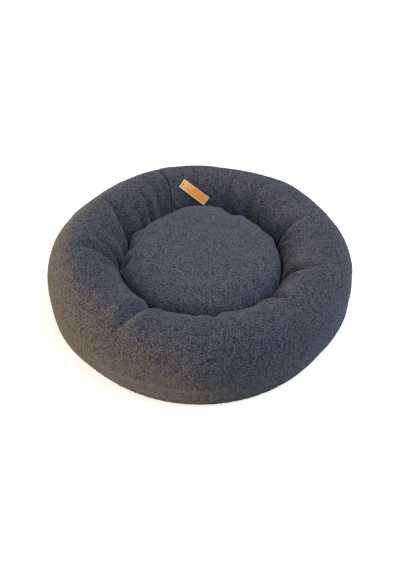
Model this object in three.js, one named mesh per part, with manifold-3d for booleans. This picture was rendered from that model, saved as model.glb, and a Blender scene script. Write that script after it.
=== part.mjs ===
// A round donut pet bed: a plump fleece ring sewn to a woven base, with a loose round cushion lying in it.
// Millimetres, +Z up. The origin is the middle of the base's underside, +Y points to the back of the bed.
// The ring and the cushion each have a zipped cover over a liner that holds the wadding.
import * as THREE from "three";
import { mergeVertices } from "three/addons/utils/BufferGeometryUtils.js";
import Module from "manifold-3d";

const wasm = await Module();
wasm.setup();

// Driving sizes of the ring
const RING_OUTER_RADIUS = 300;
const RING_TUBE_WIDTH = 130;
const RING_HEIGHT = 160;
const RING_WIDEST_HEIGHT = 76;
const RING_TOP_POWER = 2.2;
const RING_FOOT_POWER = 3;
const RING_SEAM_HEIGHT = 30;

// Driving sizes of the cushion
const CUSHION_CROWN_HEIGHT = 142;
const CUSHION_WIDEST_HEIGHT = 75;
const CUSHION_SEAM_HEIGHT = 45;
const CUSHION_SEAM_INSET = 12;
const CUSHION_TOP_POWER = 3.6;
const CUSHION_FOOT_POWER = 3;
const CUSHION_CLEARANCE = 0.8;
const CUSHION_HEEL_HEIGHT = 14;
const CUSHION_HEEL_INSET = 24;

// Cloth and fits
const FLEECE_THICKNESS = 4;
const LINER_THICKNESS = 1;
const BASE_THICKNESS = 2.5;
const BASE_SEAM_ALLOWANCE = 4;
const LINER_HEM_INSET = 7;
const FIT_GAP = 0.3;
const CUT_OVERRUN = 20;

// Zips, the same for the ring and the cushion
const TAPE_WIDTH = 12;
const TAPE_THICKNESS = 0.6;
const TAPE_DEPTH = 1.3;
const COIL_WIDTH = 2.6;
const COIL_THICKNESS = 2;
const CHAIN_GAP = 1.6;
const TAPE_MARGIN = 1;
const SLOT_MARGIN = 1;
const STOP_LENGTH = 3;
const SLIDER_LENGTH = 12;
const SLIDER_WIDTH = 9;
const SLIDER_PLATE = 1.2;
const SLIDER_WEB = 0.9;
const SLIDER_CORNER = 2.5;
const LUG_LENGTH = 1.6;
const LUG_WIDTH = 3;
const LUG_HEIGHT = 3;
const PIN_RADIUS = 0.6;
const PIN_CLEARANCE = 0.3;
const PIN_HEIGHT = 1.9;
const PULL_EYE_WALL = 0.6;
const PULL_SIDE_GAP = 0.4;
const PULL_LENGTH = 24;
const PULL_WIDTH = 8;
const PULL_THICKNESS = 1.2;
const PULL_CORNER = 2.5;
const PULL_WINDOW_WIDTH = 3;
const PULL_WINDOW_LENGTH = 9;
const PULL_WINDOW_DROP = 9;
const RING_ZIP = { fromAngle: 40, toAngle: 140, stepAngle: 4 };
const CUSHION_ZIP = { fromAngle: 216, toAngle: 324, stepAngle: 6 };
const LINER_SLIT_WIDTH = 3;
const LINER_SLIT_LENGTH = 80;
const RING_SLIT_ANGLE = 270;
const CUSHION_SLIT_ANGLE = 90;

// Label, sewn at one end to the ring's inner wall
const LABEL_LENGTH = 68;
const LABEL_WIDTH = 21;
const LABEL_THICKNESS = 1.6;
const LABEL_CORNER = 1.5;
const LABEL_SEWN_LENGTH = 8;
const LABEL_BEND_GAP = 0.4;
const LABEL_HOLE_RADIUS = 1.1;
const LABEL_HOLE_INSET = 4.5;
const LABEL_STANDOFF = 1.4;
const LABEL_THREAD_RADIUS = 0.8;
const LABEL_THREAD_HEAD_RADIUS = 1.7;
const LABEL_THREAD_HEAD = 0.7;
const LABEL_PLACE = { angle: 94, heightShare: 0.69, turnAngle: 39 };
const LABEL_RELIEF = 5;
const LABEL_RELIEF_SPREAD_ANGLE = 14;

// How the round shapes are divided
const SEGMENTS = 45;
const RING_SEGMENTS = 90;
const UPPER_STATIONS = 8;
const CORNER_STEPS = 3;
const BORE_STEPS = 12;

// The outlines in plan of the ring and of its opening, as shares of their radii, every 15 degrees from +X
const OUTER_SHARES = [
  1.01, 1.01, 1.02, 1.03, 1.025, 1.01, 1.01, 1.025, 1.03, 1.01, 1.0, 1.01,
  1.015, 1.0, 1.0, 1.0, 1.0, 1.0, 1.0, 0.99, 1.0, 0.99, 0.99, 0.995,
];
const OPENING_SHARES = [
  0.98, 0.985, 0.96, 0.98, 0.96, 1.02, 1.03, 1.02, 0.96, 0.92, 0.92, 0.935,
  0.945, 0.97, 0.96, 0.97, 1.0, 1.01, 1.01, 1.02, 1.03, 1.04, 1.02, 0.99,
];
// The gathers of the fleece on the inner wall. Each runs up from its foot, where the ring is innermost, to
// its crest, at angles in plan, and has faded out at an angle round the section: 90 is the ring's crest, and
// less is beyond it. Its valley has a depth and a width on each side, and the fleece swells beside it.
const FOLDS = [
  { footAngle: 20, crestAngle: 17, fadedAngle: 85, depth: 9, widths: [8, 11], swells: [3, 3] },
  { footAngle: 54, crestAngle: 53, fadedAngle: 80, depth: 6, widths: [13, 13], swells: [2, 2] },
  { footAngle: 72, crestAngle: 70, fadedAngle: 80, depth: 5, widths: [13, 13], swells: [2, 0] },
  { footAngle: 121, crestAngle: 120, fadedAngle: 75, depth: 7, widths: [9, 9], swells: [0, 3] },
  { footAngle: 131, crestAngle: 128, fadedAngle: 110, depth: 9, widths: [6, 8], swells: [2, 3] },
  { footAngle: 140, crestAngle: 138, fadedAngle: 85, depth: 5, widths: [10, 10], swells: [2, 2] },
  { footAngle: 158, crestAngle: 148, fadedAngle: 62, depth: 22, widths: [16, 12], swells: [2, 7] },
  { footAngle: 183, crestAngle: 177, fadedAngle: 90, depth: 7, widths: [8, 7], swells: [3, 3] },
  { footAngle: 192, crestAngle: 185, fadedAngle: 62, depth: 15, widths: [9, 10], swells: [4, 5] },
  { footAngle: 242, crestAngle: 240, fadedAngle: 45, depth: 16, widths: [11, 9], swells: [5, 3] },
  { footAngle: 277, crestAngle: 277, fadedAngle: 90, depth: 6, widths: [9, 9], swells: [3, 4] },
  { footAngle: 311, crestAngle: 314, fadedAngle: 60, depth: 14, widths: [10, 10], swells: [5, 4] },
  { footAngle: 336, crestAngle: 338, fadedAngle: 48, depth: 14, widths: [9, 10], swells: [5, 3] },
];
// A fold reaches its full depth this far round the section from where it has faded out. Its swells end above
// the cushion.
const FOLD_RISE_ANGLE = 62;
const FOLD_FULL_ANGLE = 150;
const FOLD_ROUNDING = 1.6;
const SWELL_PLACE = 2.1;
const SWELL_SPREAD = 1.15;
const SWELL_ENDS = { fromAngle: 125, toAngle: 165 };
const CLIMB_LIMIT = 1.2;

// Worked out from the driving sizes
const tubeHalf = RING_TUBE_WIDTH / 2;
const ringRadius = RING_OUTER_RADIUS - tubeHalf;
const openingRadius = ringRadius - tubeHalf;
const zipBand = 2 * (TAPE_WIDTH + TAPE_MARGIN);
const baseTop = BASE_THICKNESS + FIT_GAP;
const linerDepth =
  FLEECE_THICKNESS + TAPE_DEPTH + TAPE_THICKNESS + SLIDER_PLATE + 2 * FIT_GAP;
const cushionRadius = openingRadius - CUSHION_CLEARANCE;
const cushionSeamRadius = openingRadius - CUSHION_SEAM_INSET;

const radians = THREE.MathUtils.degToRad;
const point = (r, z) => new THREE.Vector2(r, z);

// A smooth value at any angle from a table of values at equal steps round the circle.
function aroundTable(table, degrees) {
  const at = ((((degrees % 360) + 360) % 360) / 360) * table.length;
  const i = Math.floor(at);
  const value = (k) => table[(i + k + table.length) % table.length];
  const [a, b, c, d] = [value(-1), value(0), value(1), value(2)];
  const t = at - i;
  const cubic = (3 * (b - c) + d - a) * t ** 3;
  const square = (2 * a - 5 * b + 4 * c - d) * t ** 2;
  return b + (cubic + square + (c - a) * t) / 2;
}

// An angle from -180 to 180 degrees.
const wrapped = (degrees) => ((((degrees + 180) % 360) + 360) % 360) - 180;

// A smooth bump round an angle: one there, and fading to nothing on both sides over the spread.
const bump = (degrees, angle, spread) =>
  Math.exp(-((wrapped(degrees - angle) / spread) ** 2));

// The angle of a point round the ring's section: 0 where it is outermost, 90 at the crest, 180 innermost.
function sectionAngle(radius, z) {
  const across = (radius - ringRadius) / tubeHalf;
  const up = (z - RING_WIDEST_HEIGHT) / (RING_HEIGHT - RING_WIDEST_HEIGHT);
  const power = RING_TOP_POWER / 2;
  const rise = Math.max(0, up) ** power;
  const side = Math.sign(across) * Math.abs(across) ** power;
  return THREE.MathUtils.radToDeg(Math.atan2(rise, side));
}

// The angle in plan of a fold's valley at an angle round the section.
function foldPlace({ footAngle, crestAngle }, section) {
  const climb = Math.min(CLIMB_LIMIT, (180 - section) / 90);
  return footAngle + (crestAngle - footAngle) * climb;
}

// How far the folds move the ring's face out of its section at an angle in plan, below 0 in their valleys.
function foldAt(degrees, section, radius) {
  const ends = SWELL_ENDS;
  const swelling = 1 - THREE.MathUtils.smoothstep(section, ends.fromAngle, ends.toAngle);
  return FOLDS.reduce((total, fold) => {
    const away = wrapped(degrees - foldPlace(fold, section));
    const across = radians(away) * radius;
    const side = across > 0 ? 1 : 0;
    const width = fold.widths[side];
    const rounded = Math.hypot(across, FOLD_ROUNDING) - FOLD_ROUNDING;
    const valley = fold.depth * Math.exp(-rounded / width);
    const beside = (Math.abs(across) / width - SWELL_PLACE) / SWELL_SPREAD;
    const swell = swelling * fold.swells[side] * Math.exp(-(beside ** 2));
    const full = Math.min(fold.fadedAngle + FOLD_RISE_ANGLE, FOLD_FULL_ANGLE);
    const strength = THREE.MathUtils.smoothstep(section, fold.fadedAngle, full);
    return total + strength * (swell - valley);
  }, 0);
}

// The ring is divided at equal angles. The division nearest to a fold is turned on to its valley, and those
// between two folds are spread evenly.
const ringStep = 360 / RING_SEGMENTS;
const foldDivisions = FOLDS.map(
  ({ footAngle, crestAngle }) =>
    ringStep * Math.round((footAngle + crestAngle) / 2 / ringStep),
);

function divisionTurn(degrees, section) {
  const after = foldDivisions.findIndex((angle) => angle > degrees);
  const next = after < 0 ? 0 : after;
  const last = (next + FOLDS.length - 1) % FOLDS.length;
  const [from, to] = [last, next].map((i) =>
    wrapped(foldPlace(FOLDS[i], section) - foldDivisions[i]),
  );
  const span = (foldDivisions[next] - foldDivisions[last] + 360) % 360;
  const share = ((degrees - foldDivisions[last] + 360) % 360) / span;
  return from + (to - from) * share;
}

// Half the width of a rounded section at a height above or below its widest level.
function halfWidthAt(half, rise, power, height) {
  return half * (1 - Math.min(1, height / rise) ** power) ** (1 / power);
}

// The points of the upper half of a rounded section, by equal turns, with both ends.
function upperArc(middle, half, level, rise, power, from, to, steps) {
  return Array.from({ length: steps + 1 }, (_, i) => {
    const turn = from + ((to - from) * i) / steps;
    const across = Math.abs(Math.cos(turn)) ** (2 / power);
    const up = Math.abs(Math.sin(turn)) ** (2 / power);
    const side = Math.sign(Math.cos(turn));
    return point(middle + half * side * across, level + rise * up);
  });
}

// A line of points moved sideways by a distance, to the left of its direction, with mitred corners.
function offset(line, distance, closed = false) {
  const n = line.length;
  const side = (i, j) => {
    const along = line[j].clone().sub(line[i]).normalize();
    return point(-along.y, along.x);
  };
  return line.map((p, i) => {
    const before = closed || i > 0 ? side((i - 1 + n) % n, i) : side(i, i + 1);
    const after = closed || i < n - 1 ? side(i, (i + 1) % n) : before;
    const mitre = before.clone().add(after).normalize();
    return p.clone().addScaledVector(mitre, distance / mitre.dot(before));
  });
}

// A closed profile turned once round the Z axis, in as many flat segments as asked.
function turned(profile, segments = SEGMENTS) {
  const closed = profile[0].x === 0 ? profile : [...profile, profile[0]];
  return new THREE.LatheGeometry(closed, segments).rotateX(Math.PI / 2);
}

// A geometry as a solid for cutting and joining, and back.
function solidOf(geometry) {
  const bare = new THREE.BufferGeometry();
  bare.setAttribute("position", geometry.getAttribute("position").clone());
  if (geometry.index) bare.setIndex(geometry.index.clone());
  const merged = mergeVertices(bare, 1e-3);
  return new wasm.Manifold(
    new wasm.Mesh({
      numProp: 3,
      vertProperties: merged.attributes.position.array,
      triVerts: new Uint32Array(merged.index.array),
    }),
  );
}

function geometryOf(solid) {
  const mesh = solid.getMesh();
  const geometry = new THREE.BufferGeometry();
  geometry.setAttribute(
    "position",
    new THREE.BufferAttribute(mesh.vertProperties, 3),
  );
  geometry.setIndex(new THREE.BufferAttribute(mesh.triVerts, 1));
  const flat = geometry.toNonIndexed();
  flat.computeVertexNormals();
  return flat;
}

// An outline pushed out along Z from a start height.
function slab(shape, start, thickness) {
  const geometry = new THREE.ExtrudeGeometry(shape, {
    depth: thickness,
    bevelEnabled: false,
    curveSegments: CORNER_STEPS,
  });
  return solidOf(geometry.translate(0, 0, start));
}

// A wedge round the Z axis between two angles, past everything in reach.
function wedge(from, to) {
  const reach = 2 * RING_OUTER_RADIUS;
  const steps = Math.ceil((to - from) / 15);
  const shape = new THREE.Shape([
    point(0, 0),
    ...Array.from({ length: steps + 1 }, (_, i) => {
      const turn = radians(from + ((to - from) * i) / steps);
      return point(reach * Math.cos(turn), reach * Math.sin(turn));
    }),
  ]);
  return slab(shape, -CUT_OVERRUN, RING_HEIGHT + 2 * CUT_OVERRUN);
}

// A rectangle with rounded corners, centred on x and y.
function roundedRectangle(length, width, corner) {
  const [x, y] = [length / 2, width / 2];
  return new THREE.Shape()
    .moveTo(-x + corner, -y)
    .lineTo(x - corner, -y)
    .absarc(x - corner, -y + corner, corner, -Math.PI / 2, 0)
    .lineTo(x, y - corner)
    .absarc(x - corner, y - corner, corner, 0, Math.PI / 2)
    .lineTo(-x + corner, y)
    .absarc(-x + corner, y - corner, corner, Math.PI / 2, Math.PI)
    .lineTo(-x, -y + corner)
    .absarc(-x + corner, -y + corner, corner, Math.PI, 1.5 * Math.PI);
}

// A block between two corners.
function block(x0, x1, y0, y1, z0, z1) {
  const box = new THREE.BoxGeometry(x1 - x0, y1 - y0, z1 - z0);
  return solidOf(
    box.translate((x0 + x1) / 2, (y0 + y1) / 2, (z0 + z1) / 2),
  );
}

// A round bar along X, centred.
function barAlongX(radius, length) {
  const bar = new THREE.CylinderGeometry(radius, radius, length, BORE_STEPS);
  return solidOf(bar.rotateZ(Math.PI / 2));
}

// Moves each point of a geometry by a rule of its angle round the Z axis, its radius and its height.
function reshaped(geometry, rule) {
  const places = geometry.getAttribute("position");
  for (let i = 0; i < places.count; i += 1) {
    const [x, y, z] = [places.getX(i), places.getY(i), places.getZ(i)];
    const radius = Math.hypot(x, y);
    if (radius > FIT_GAP) {
      const degrees = THREE.MathUtils.radToDeg(Math.atan2(y, x));
      const moved = rule((degrees + 360) % 360, radius, z);
      const turn = radians(moved.degrees);
      const [c, k] = [Math.cos(turn), Math.sin(turn)];
      places.setXYZ(i, moved.radius * c, moved.radius * k, moved.height);
    }
  }
  return geometry;
}

// The ring is truly round below its seam band and takes on its uneven outline above it.
const ringRoundTo = RING_SEAM_HEIGHT + zipBand / 2;

function ringRule(degrees, radius, z) {
  const loose = THREE.MathUtils.smoothstep(
    z,
    ringRoundTo + linerDepth,
    RING_WIDEST_HEIGHT,
  );
  const across = THREE.MathUtils.clamp(
    (radius - openingRadius) / RING_TUBE_WIDTH,
    0,
    1,
  );
  const section = sectionAngle(radius, z);
  const turning = loose * THREE.MathUtils.smoothstep(section, 0, FOLD_RISE_ANGLE);
  const at = degrees + turning * divisionTurn(degrees, section);
  const inner = openingRadius * (aroundTable(OPENING_SHARES, at) - 1);
  const outer = RING_OUTER_RADIUS * (aroundTable(OUTER_SHARES, at) - 1);
  const shift = inner * (1 - across) + outer * across;
  const fold = loose * foldAt(at, section, radius);
  return {
    degrees: at,
    radius: radius + shift * loose + fold * Math.cos(radians(section)),
    height: z + fold * Math.sin(radians(section)),
  };
}

// The cushion fills the ring's opening, apart from where the label overhangs it. It is round at its seam,
// where its zip runs.
const cushionRoundTo = CUSHION_SEAM_HEIGHT + zipBand / 2;

function cushionRule(degrees, radius, z) {
  const relief = bump(degrees, LABEL_PLACE.angle, LABEL_RELIEF_SPREAD_ANGLE);
  const full =
    aroundTable(OPENING_SHARES, degrees) -
    (LABEL_RELIEF / openingRadius) * relief;
  const low = Math.min(1, (full * openingRadius) / cushionSeamRadius);
  const loose = THREE.MathUtils.smoothstep(
    z,
    cushionRoundTo + linerDepth,
    CUSHION_WIDEST_HEIGHT,
  );
  const share = low + (full - low) * loose;
  return { degrees, radius: radius * share, height: z };
}

// The outer line of the ring's section, from the outer hem over the top to the inner hem.
function ringLine() {
  const footRise = RING_WIDEST_HEIGHT;
  const widthAt = (z) =>
    halfWidthAt(tubeHalf, footRise, RING_FOOT_POWER, RING_WIDEST_HEIGHT - z);
  const low = RING_SEAM_HEIGHT - zipBand / 2;
  const outerFoot = [baseTop, low, ringRoundTo].map((z) =>
    point(ringRadius + widthAt(z), z),
  );
  const innerFoot = [RING_SEAM_HEIGHT, baseTop].map((z) =>
    point(ringRadius - widthAt(z), z),
  );
  const top = upperArc(
    ringRadius,
    tubeHalf,
    RING_WIDEST_HEIGHT,
    RING_HEIGHT - RING_WIDEST_HEIGHT,
    RING_TOP_POWER,
    0,
    Math.PI,
    UPPER_STATIONS,
  );
  return [...outerFoot, ...top, ...innerFoot];
}

// The outer line of the cushion's section, from the middle of its underside to the middle of its crown.
function cushionLine() {
  const footRise = CUSHION_WIDEST_HEIGHT - baseTop;
  const widthAt = (z) =>
    halfWidthAt(
      cushionSeamRadius,
      footRise,
      CUSHION_FOOT_POWER,
      CUSHION_WIDEST_HEIGHT - z,
    );
  const low = CUSHION_SEAM_HEIGHT - zipBand / 2;
  const heel = point(widthAt(CUSHION_HEEL_HEIGHT), CUSHION_HEEL_HEIGHT);
  const foot = [
    point(0, baseTop),
    point(heel.x - CUSHION_HEEL_INSET, baseTop),
    heel,
    point(widthAt(low), low),
    point(widthAt(cushionRoundTo), cushionRoundTo),
  ];
  const top = upperArc(
    0,
    cushionRadius,
    CUSHION_WIDEST_HEIGHT,
    CUSHION_CROWN_HEIGHT - CUSHION_WIDEST_HEIGHT,
    CUSHION_TOP_POWER,
    0,
    Math.PI / 2,
    UPPER_STATIONS - 2,
  );
  return [...foot, ...top];
}

// The straight band of a section that a zip runs along: its middle, its upward direction and its outward one.
function bandFrame(below, above) {
  const up = above.clone().sub(below).normalize();
  const out = point(up.y, -up.x);
  const middle = below.clone().add(above).multiplyScalar(0.5);
  const at = (s, n) =>
    middle.clone().addScaledVector(up, s).addScaledVector(out, n);
  return { middle, up, out, at };
}

// A strip of a zip: a rectangle of the band's section, swept round the axis between two angles.
function strip(band, zip, s0, s1, n0, n1, trim = 0) {
  const profile = [
    band.at(s0, n0),
    band.at(s0, n1),
    band.at(s1, n1),
    band.at(s1, n0),
  ];
  const ring = solidOf(turned(profile, 360 / zip.stepAngle));
  return ring.intersect(wedge(zip.fromAngle + trim, zip.toAngle - trim));
}

// An object's own axes on a band at an angle: along the chain, up the band and out of it.
function frameOn(band, degrees, s, n) {
  const [c, k] = [Math.cos(radians(degrees)), Math.sin(radians(degrees))];
  const spin = (v) => new THREE.Vector3(v.x * c, v.x * k, v.y);
  return new THREE.Matrix4()
    .makeBasis(new THREE.Vector3(-k, c, 0), spin(band.up), spin(band.out))
    .setPosition(spin(band.at(s, n)));
}

// The same, with the second axis straight up and the third level, as for something that hangs.
function hangingFrame(band, degrees, n) {
  const [c, k] = [Math.cos(radians(degrees)), Math.sin(radians(degrees))];
  const place = band.at(0, n);
  return new THREE.Matrix4()
    .makeBasis(
      new THREE.Vector3(-k, c, 0),
      new THREE.Vector3(0, 0, 1),
      new THREE.Vector3(c, k, 0),
    )
    .setPosition(place.x * c, place.x * k, place.y);
}

const group = new THREE.Group();

function add(name, geometry, material, matrix = null) {
  const mesh = new THREE.Mesh(geometry, material);
  mesh.name = name;
  if (matrix) mesh.applyMatrix4(matrix);
  group.add(mesh);
}

const finish = (color, roughness, metalness = 0) =>
  new THREE.MeshStandardMaterial({ color, roughness, metalness });
const fleece = finish(0x474950, 0.95);
const woven = finish(0x2a2b2f, 0.85);
const lining = finish(0xd9d8d4, 0.8);
const wadding = finish(0xf2f1ee, 1);
const tapeCloth = finish(0x26272a, 0.9);
const nylon = finish(0x1d1e20, 0.45);
const zinc = finish(0x6f7175, 0.35, 1);
const leather = finish(0xc48a4c, 0.6);
const thread = finish(0xe0c79a, 0.7);

// Depths below the fleece's outer face, in the order in which a zip's pieces lie
const tapeOut = -(FLEECE_THICKNESS + TAPE_DEPTH);
const tapeIn = tapeOut - TAPE_THICKNESS;
const coilIn = tapeOut + FIT_GAP;
const coilOut = coilIn + COIL_THICKNESS;
const plateIn = coilOut + FIT_GAP;
const plateOut = plateIn + SLIDER_PLATE;
const innerPlateOut = tapeIn - FIT_GAP;
const innerPlateIn = innerPlateOut - SLIDER_PLATE;
const pinLevel = plateOut + PIN_HEIGHT;
const lugPlace = (SLIDER_LENGTH - LUG_LENGTH) / 2;

// The zip's runner: a plate on each side of the chain, the web between them, and a bail pin for the pull.
function sliderGeometry() {
  const outline = roundedRectangle(SLIDER_LENGTH, SLIDER_WIDTH, SLIDER_CORNER);
  const web = block(
    -SLIDER_LENGTH / 4,
    SLIDER_LENGTH / 4,
    -SLIDER_WEB / 2,
    SLIDER_WEB / 2,
    innerPlateIn + SLIDER_PLATE / 2,
    plateOut - SLIDER_PLATE / 2,
  );
  const lug = (x) =>
    block(
      x - LUG_LENGTH / 2,
      x + LUG_LENGTH / 2,
      -LUG_WIDTH / 2,
      LUG_WIDTH / 2,
      plateOut - SLIDER_PLATE / 2,
      plateOut + LUG_HEIGHT,
    );
  const pin = barAlongX(PIN_RADIUS, 2 * lugPlace).translate([0, 0, pinLevel]);
  return geometryOf(
    slab(outline, plateIn, SLIDER_PLATE)
      .add(slab(outline, innerPlateIn, SLIDER_PLATE))
      .add(web)
      .add(lug(-lugPlace))
      .add(lug(lugPlace))
      .add(pin),
  );
}

// The pull hangs from the bail pin by its eye: X along the pin, Y up, Z away from the cloth.
function pullGeometry() {
  const bore = PIN_RADIUS + PIN_CLEARANCE;
  const eyeRadius = bore + PULL_EYE_WALL;
  const eyeLength = 2 * (lugPlace - LUG_LENGTH / 2 - PULL_SIDE_GAP);
  const drop = eyeRadius - PULL_EYE_WALL / 2;
  const shape = roundedRectangle(PULL_WIDTH, PULL_LENGTH, PULL_CORNER);
  const tab = slab(shape, -PULL_THICKNESS / 2, PULL_THICKNESS).translate([
    0,
    -bore - PULL_LENGTH / 2 - PIN_HEIGHT,
    0,
  ]);
  const window = block(
    -PULL_WINDOW_WIDTH / 2,
    PULL_WINDOW_WIDTH / 2,
    -PULL_WINDOW_DROP - PULL_WINDOW_LENGTH,
    -PULL_WINDOW_DROP,
    -PULL_THICKNESS,
    PULL_THICKNESS,
  );
  const neck = block(
    -eyeLength / 2,
    eyeLength / 2,
    -bore - PIN_HEIGHT - PULL_CORNER,
    -drop,
    -PULL_THICKNESS / 2,
    PULL_THICKNESS / 2,
  );
  return geometryOf(
    barAlongX(eyeRadius, eyeLength)
      .add(neck)
      .add(tab)
      .subtract(barAlongX(bore, eyeLength + CUT_OVERRUN))
      .subtract(window),
  );
}

// The two tapes, two coils, two stops, runner and pull of one zip. The runner starts at the closed end.
function addZip(prefix, band, zip) {
  const half = CHAIN_GAP / 2;
  const perDegree = (band.middle.x * Math.PI) / 180;
  const stopTurn = STOP_LENGTH / perDegree;
  const strips = [
    ["tape_upper", half, TAPE_WIDTH, tapeIn, tapeOut, tapeCloth],
    ["tape_lower", -TAPE_WIDTH, -half, tapeIn, tapeOut, tapeCloth],
    ["coil_upper", half, half + COIL_WIDTH, coilIn, coilOut, nylon],
    ["coil_lower", -half - COIL_WIDTH, -half, coilIn, coilOut, nylon],
  ];
  for (const [name, s0, s1, n0, n1, material] of strips) {
    const trim = material === nylon ? stopTurn : 0;
    const solid = strip(band, zip, s0, s1, n0, n1, trim);
    add(`${prefix}_zip_${name}`, geometryOf(solid), material);
  }
  const stopHalf = half + COIL_WIDTH;
  const gapTurn = FIT_GAP / perDegree;
  const ends = [
    ["stop_first", zip.fromAngle, zip.fromAngle + stopTurn - gapTurn],
    ["stop_last", zip.toAngle - stopTurn + gapTurn, zip.toAngle],
  ];
  for (const [name, fromAngle, toAngle] of ends) {
    const solid = strip(
      band,
      { ...zip, fromAngle, toAngle },
      -stopHalf,
      stopHalf,
      coilIn,
      coilOut,
    );
    add(`${prefix}_zip_${name}`, geometryOf(solid), zinc);
  }
  const rest = zip.fromAngle + stopTurn + (SLIDER_LENGTH / 2 + FIT_GAP) / perDegree;
  add(
    `${prefix}_zip_slider`,
    sliderGeometry(),
    zinc,
    frameOn(band, rest, 0, 0),
  );
  add(
    `${prefix}_zip_pull`,
    pullGeometry(),
    zinc,
    hangingFrame(band, rest, pinLevel),
  );
}

// The slot that a zip's chain shows through, as a cutter for the covers.
function slotCutter(band, zip) {
  const half = SLIDER_WIDTH / 2 + SLOT_MARGIN;
  return strip(band, zip, -half, half, -2 * FLEECE_THICKNESS, FLEECE_THICKNESS);
}

// A liner is a closed bag with a slit in its side, through which it was filled.
function linerWithSlit(outer, inner, segments, rule, slitFrame) {
  const bag = solidOf(reshaped(turned(outer, segments), rule));
  const room = solidOf(reshaped(turned(inner, segments), rule));
  const x = LINER_SLIT_LENGTH / 2;
  const y = LINER_SLIT_WIDTH / 2;
  const reach = linerDepth + CUT_OVERRUN;
  const slit = block(-x, x, -y, y, -reach, reach);
  return geometryOf(
    bag.subtract(room).subtract(slit.transform(slitFrame.toArray())),
  );
}

// The ring: cover, liner, wadding, base and zip
const ringOuter = ringLine();
const ringBand = bandFrame(ringOuter[1], ringOuter[2]);
const ringInside = offset(ringOuter, FLEECE_THICKNESS);
const belowHem = baseTop - CUT_OVERRUN;
const ringRoomLine = [
  point(ringInside[0].x, belowHem),
  ...ringInside,
  point(ringInside.at(-1).x, belowHem),
];
add(
  "ring_cover",
  geometryOf(
    solidOf(reshaped(turned(ringOuter, RING_SEGMENTS), ringRule))
      .subtract(solidOf(reshaped(turned(ringRoomLine, RING_SEGMENTS), ringRule)))
      .subtract(slotCutter(ringBand, RING_ZIP)),
  ),
  fleece,
);

const hemOuter = ringOuter[0].x;
const hemInner = ringOuter[ringOuter.length - 1].x;
const ringLinerLine = [
  point(hemOuter - LINER_HEM_INSET, baseTop),
  ...offset(ringOuter, linerDepth),
  point(hemInner + LINER_HEM_INSET, baseTop),
];
add(
  "ring_liner",
  linerWithSlit(
    ringLinerLine,
    offset(ringLinerLine, LINER_THICKNESS, true),
    RING_SEGMENTS,
    ringRule,
    frameOn(ringBand, RING_SLIT_ANGLE, 0, 0),
  ),
  lining,
);
const ringFillLine = offset(ringLinerLine, LINER_THICKNESS + FIT_GAP, true);
add(
  "ring_filling",
  reshaped(turned(ringFillLine, RING_SEGMENTS), ringRule),
  wadding,
);

const baseRadius = hemOuter + BASE_SEAM_ALLOWANCE;
const baseProfile = [
  point(0, 0),
  point(baseRadius, 0),
  point(baseRadius, BASE_THICKNESS),
  point(0, BASE_THICKNESS),
];
add("base_panel", turned(baseProfile), woven);
addZip("ring", ringBand, RING_ZIP);

// The cushion: upper and lower cover, liner, wadding and zip
const cushionOuter = cushionLine();
const seamIndex = 4;
const cushionBand = bandFrame(
  cushionOuter[seamIndex - 1],
  cushionOuter[seamIndex],
);
// A line whose ends are put exactly on the axis where they lie within a clearance of it.
const onAxis = (line) =>
  line.map((p) => (Math.abs(p.x) < FIT_GAP ? point(0, p.y) : p));

const cushionInside = offset(cushionOuter, FLEECE_THICKNESS);
const cushionCover = solidOf(reshaped(turned(onAxis(cushionOuter)), cushionRule))
  .subtract(solidOf(reshaped(turned(onAxis(cushionInside)), cushionRule)))
  .subtract(slotCutter(cushionBand, CUSHION_ZIP));

// The part of the cushion's cover between two heights: its covers meet at the seam.
function cushionPanel(low, high) {
  const reach = RING_OUTER_RADIUS;
  const layer = block(-reach, reach, -reach, reach, low, high);
  return geometryOf(cushionCover.intersect(layer));
}

const seamTop = CUSHION_SEAM_HEIGHT + FIT_GAP / 2;
const aboveCrown = CUSHION_CROWN_HEIGHT + CUT_OVERRUN;
add("cushion_cover_top", cushionPanel(seamTop, aboveCrown), fleece);
add("cushion_cover_bottom", cushionPanel(0, seamTop - FIT_GAP), woven);

// The liner lies on the lower cover's inner face, so its underside is lower than the rest of its offset.
const linerFoot = baseTop + FLEECE_THICKNESS + FIT_GAP;
const cushionLinerLine = offset(cushionOuter, linerDepth).map((p, i) =>
  i < 2 ? point(p.x, linerFoot) : p,
);
add(
  "cushion_liner",
  linerWithSlit(
    onAxis(cushionLinerLine),
    onAxis(offset(cushionLinerLine, LINER_THICKNESS)),
    SEGMENTS,
    cushionRule,
    frameOn(cushionBand, CUSHION_SLIT_ANGLE, 0, 0),
  ),
  lining,
);
const cushionFillLine = offset(cushionLinerLine, LINER_THICKNESS + FIT_GAP);
add(
  "cushion_filling",
  reshaped(turned(onAxis(cushionFillLine)), cushionRule),
  wadding,
);
addZip("cushion", cushionBand, CUSHION_ZIP);

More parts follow.
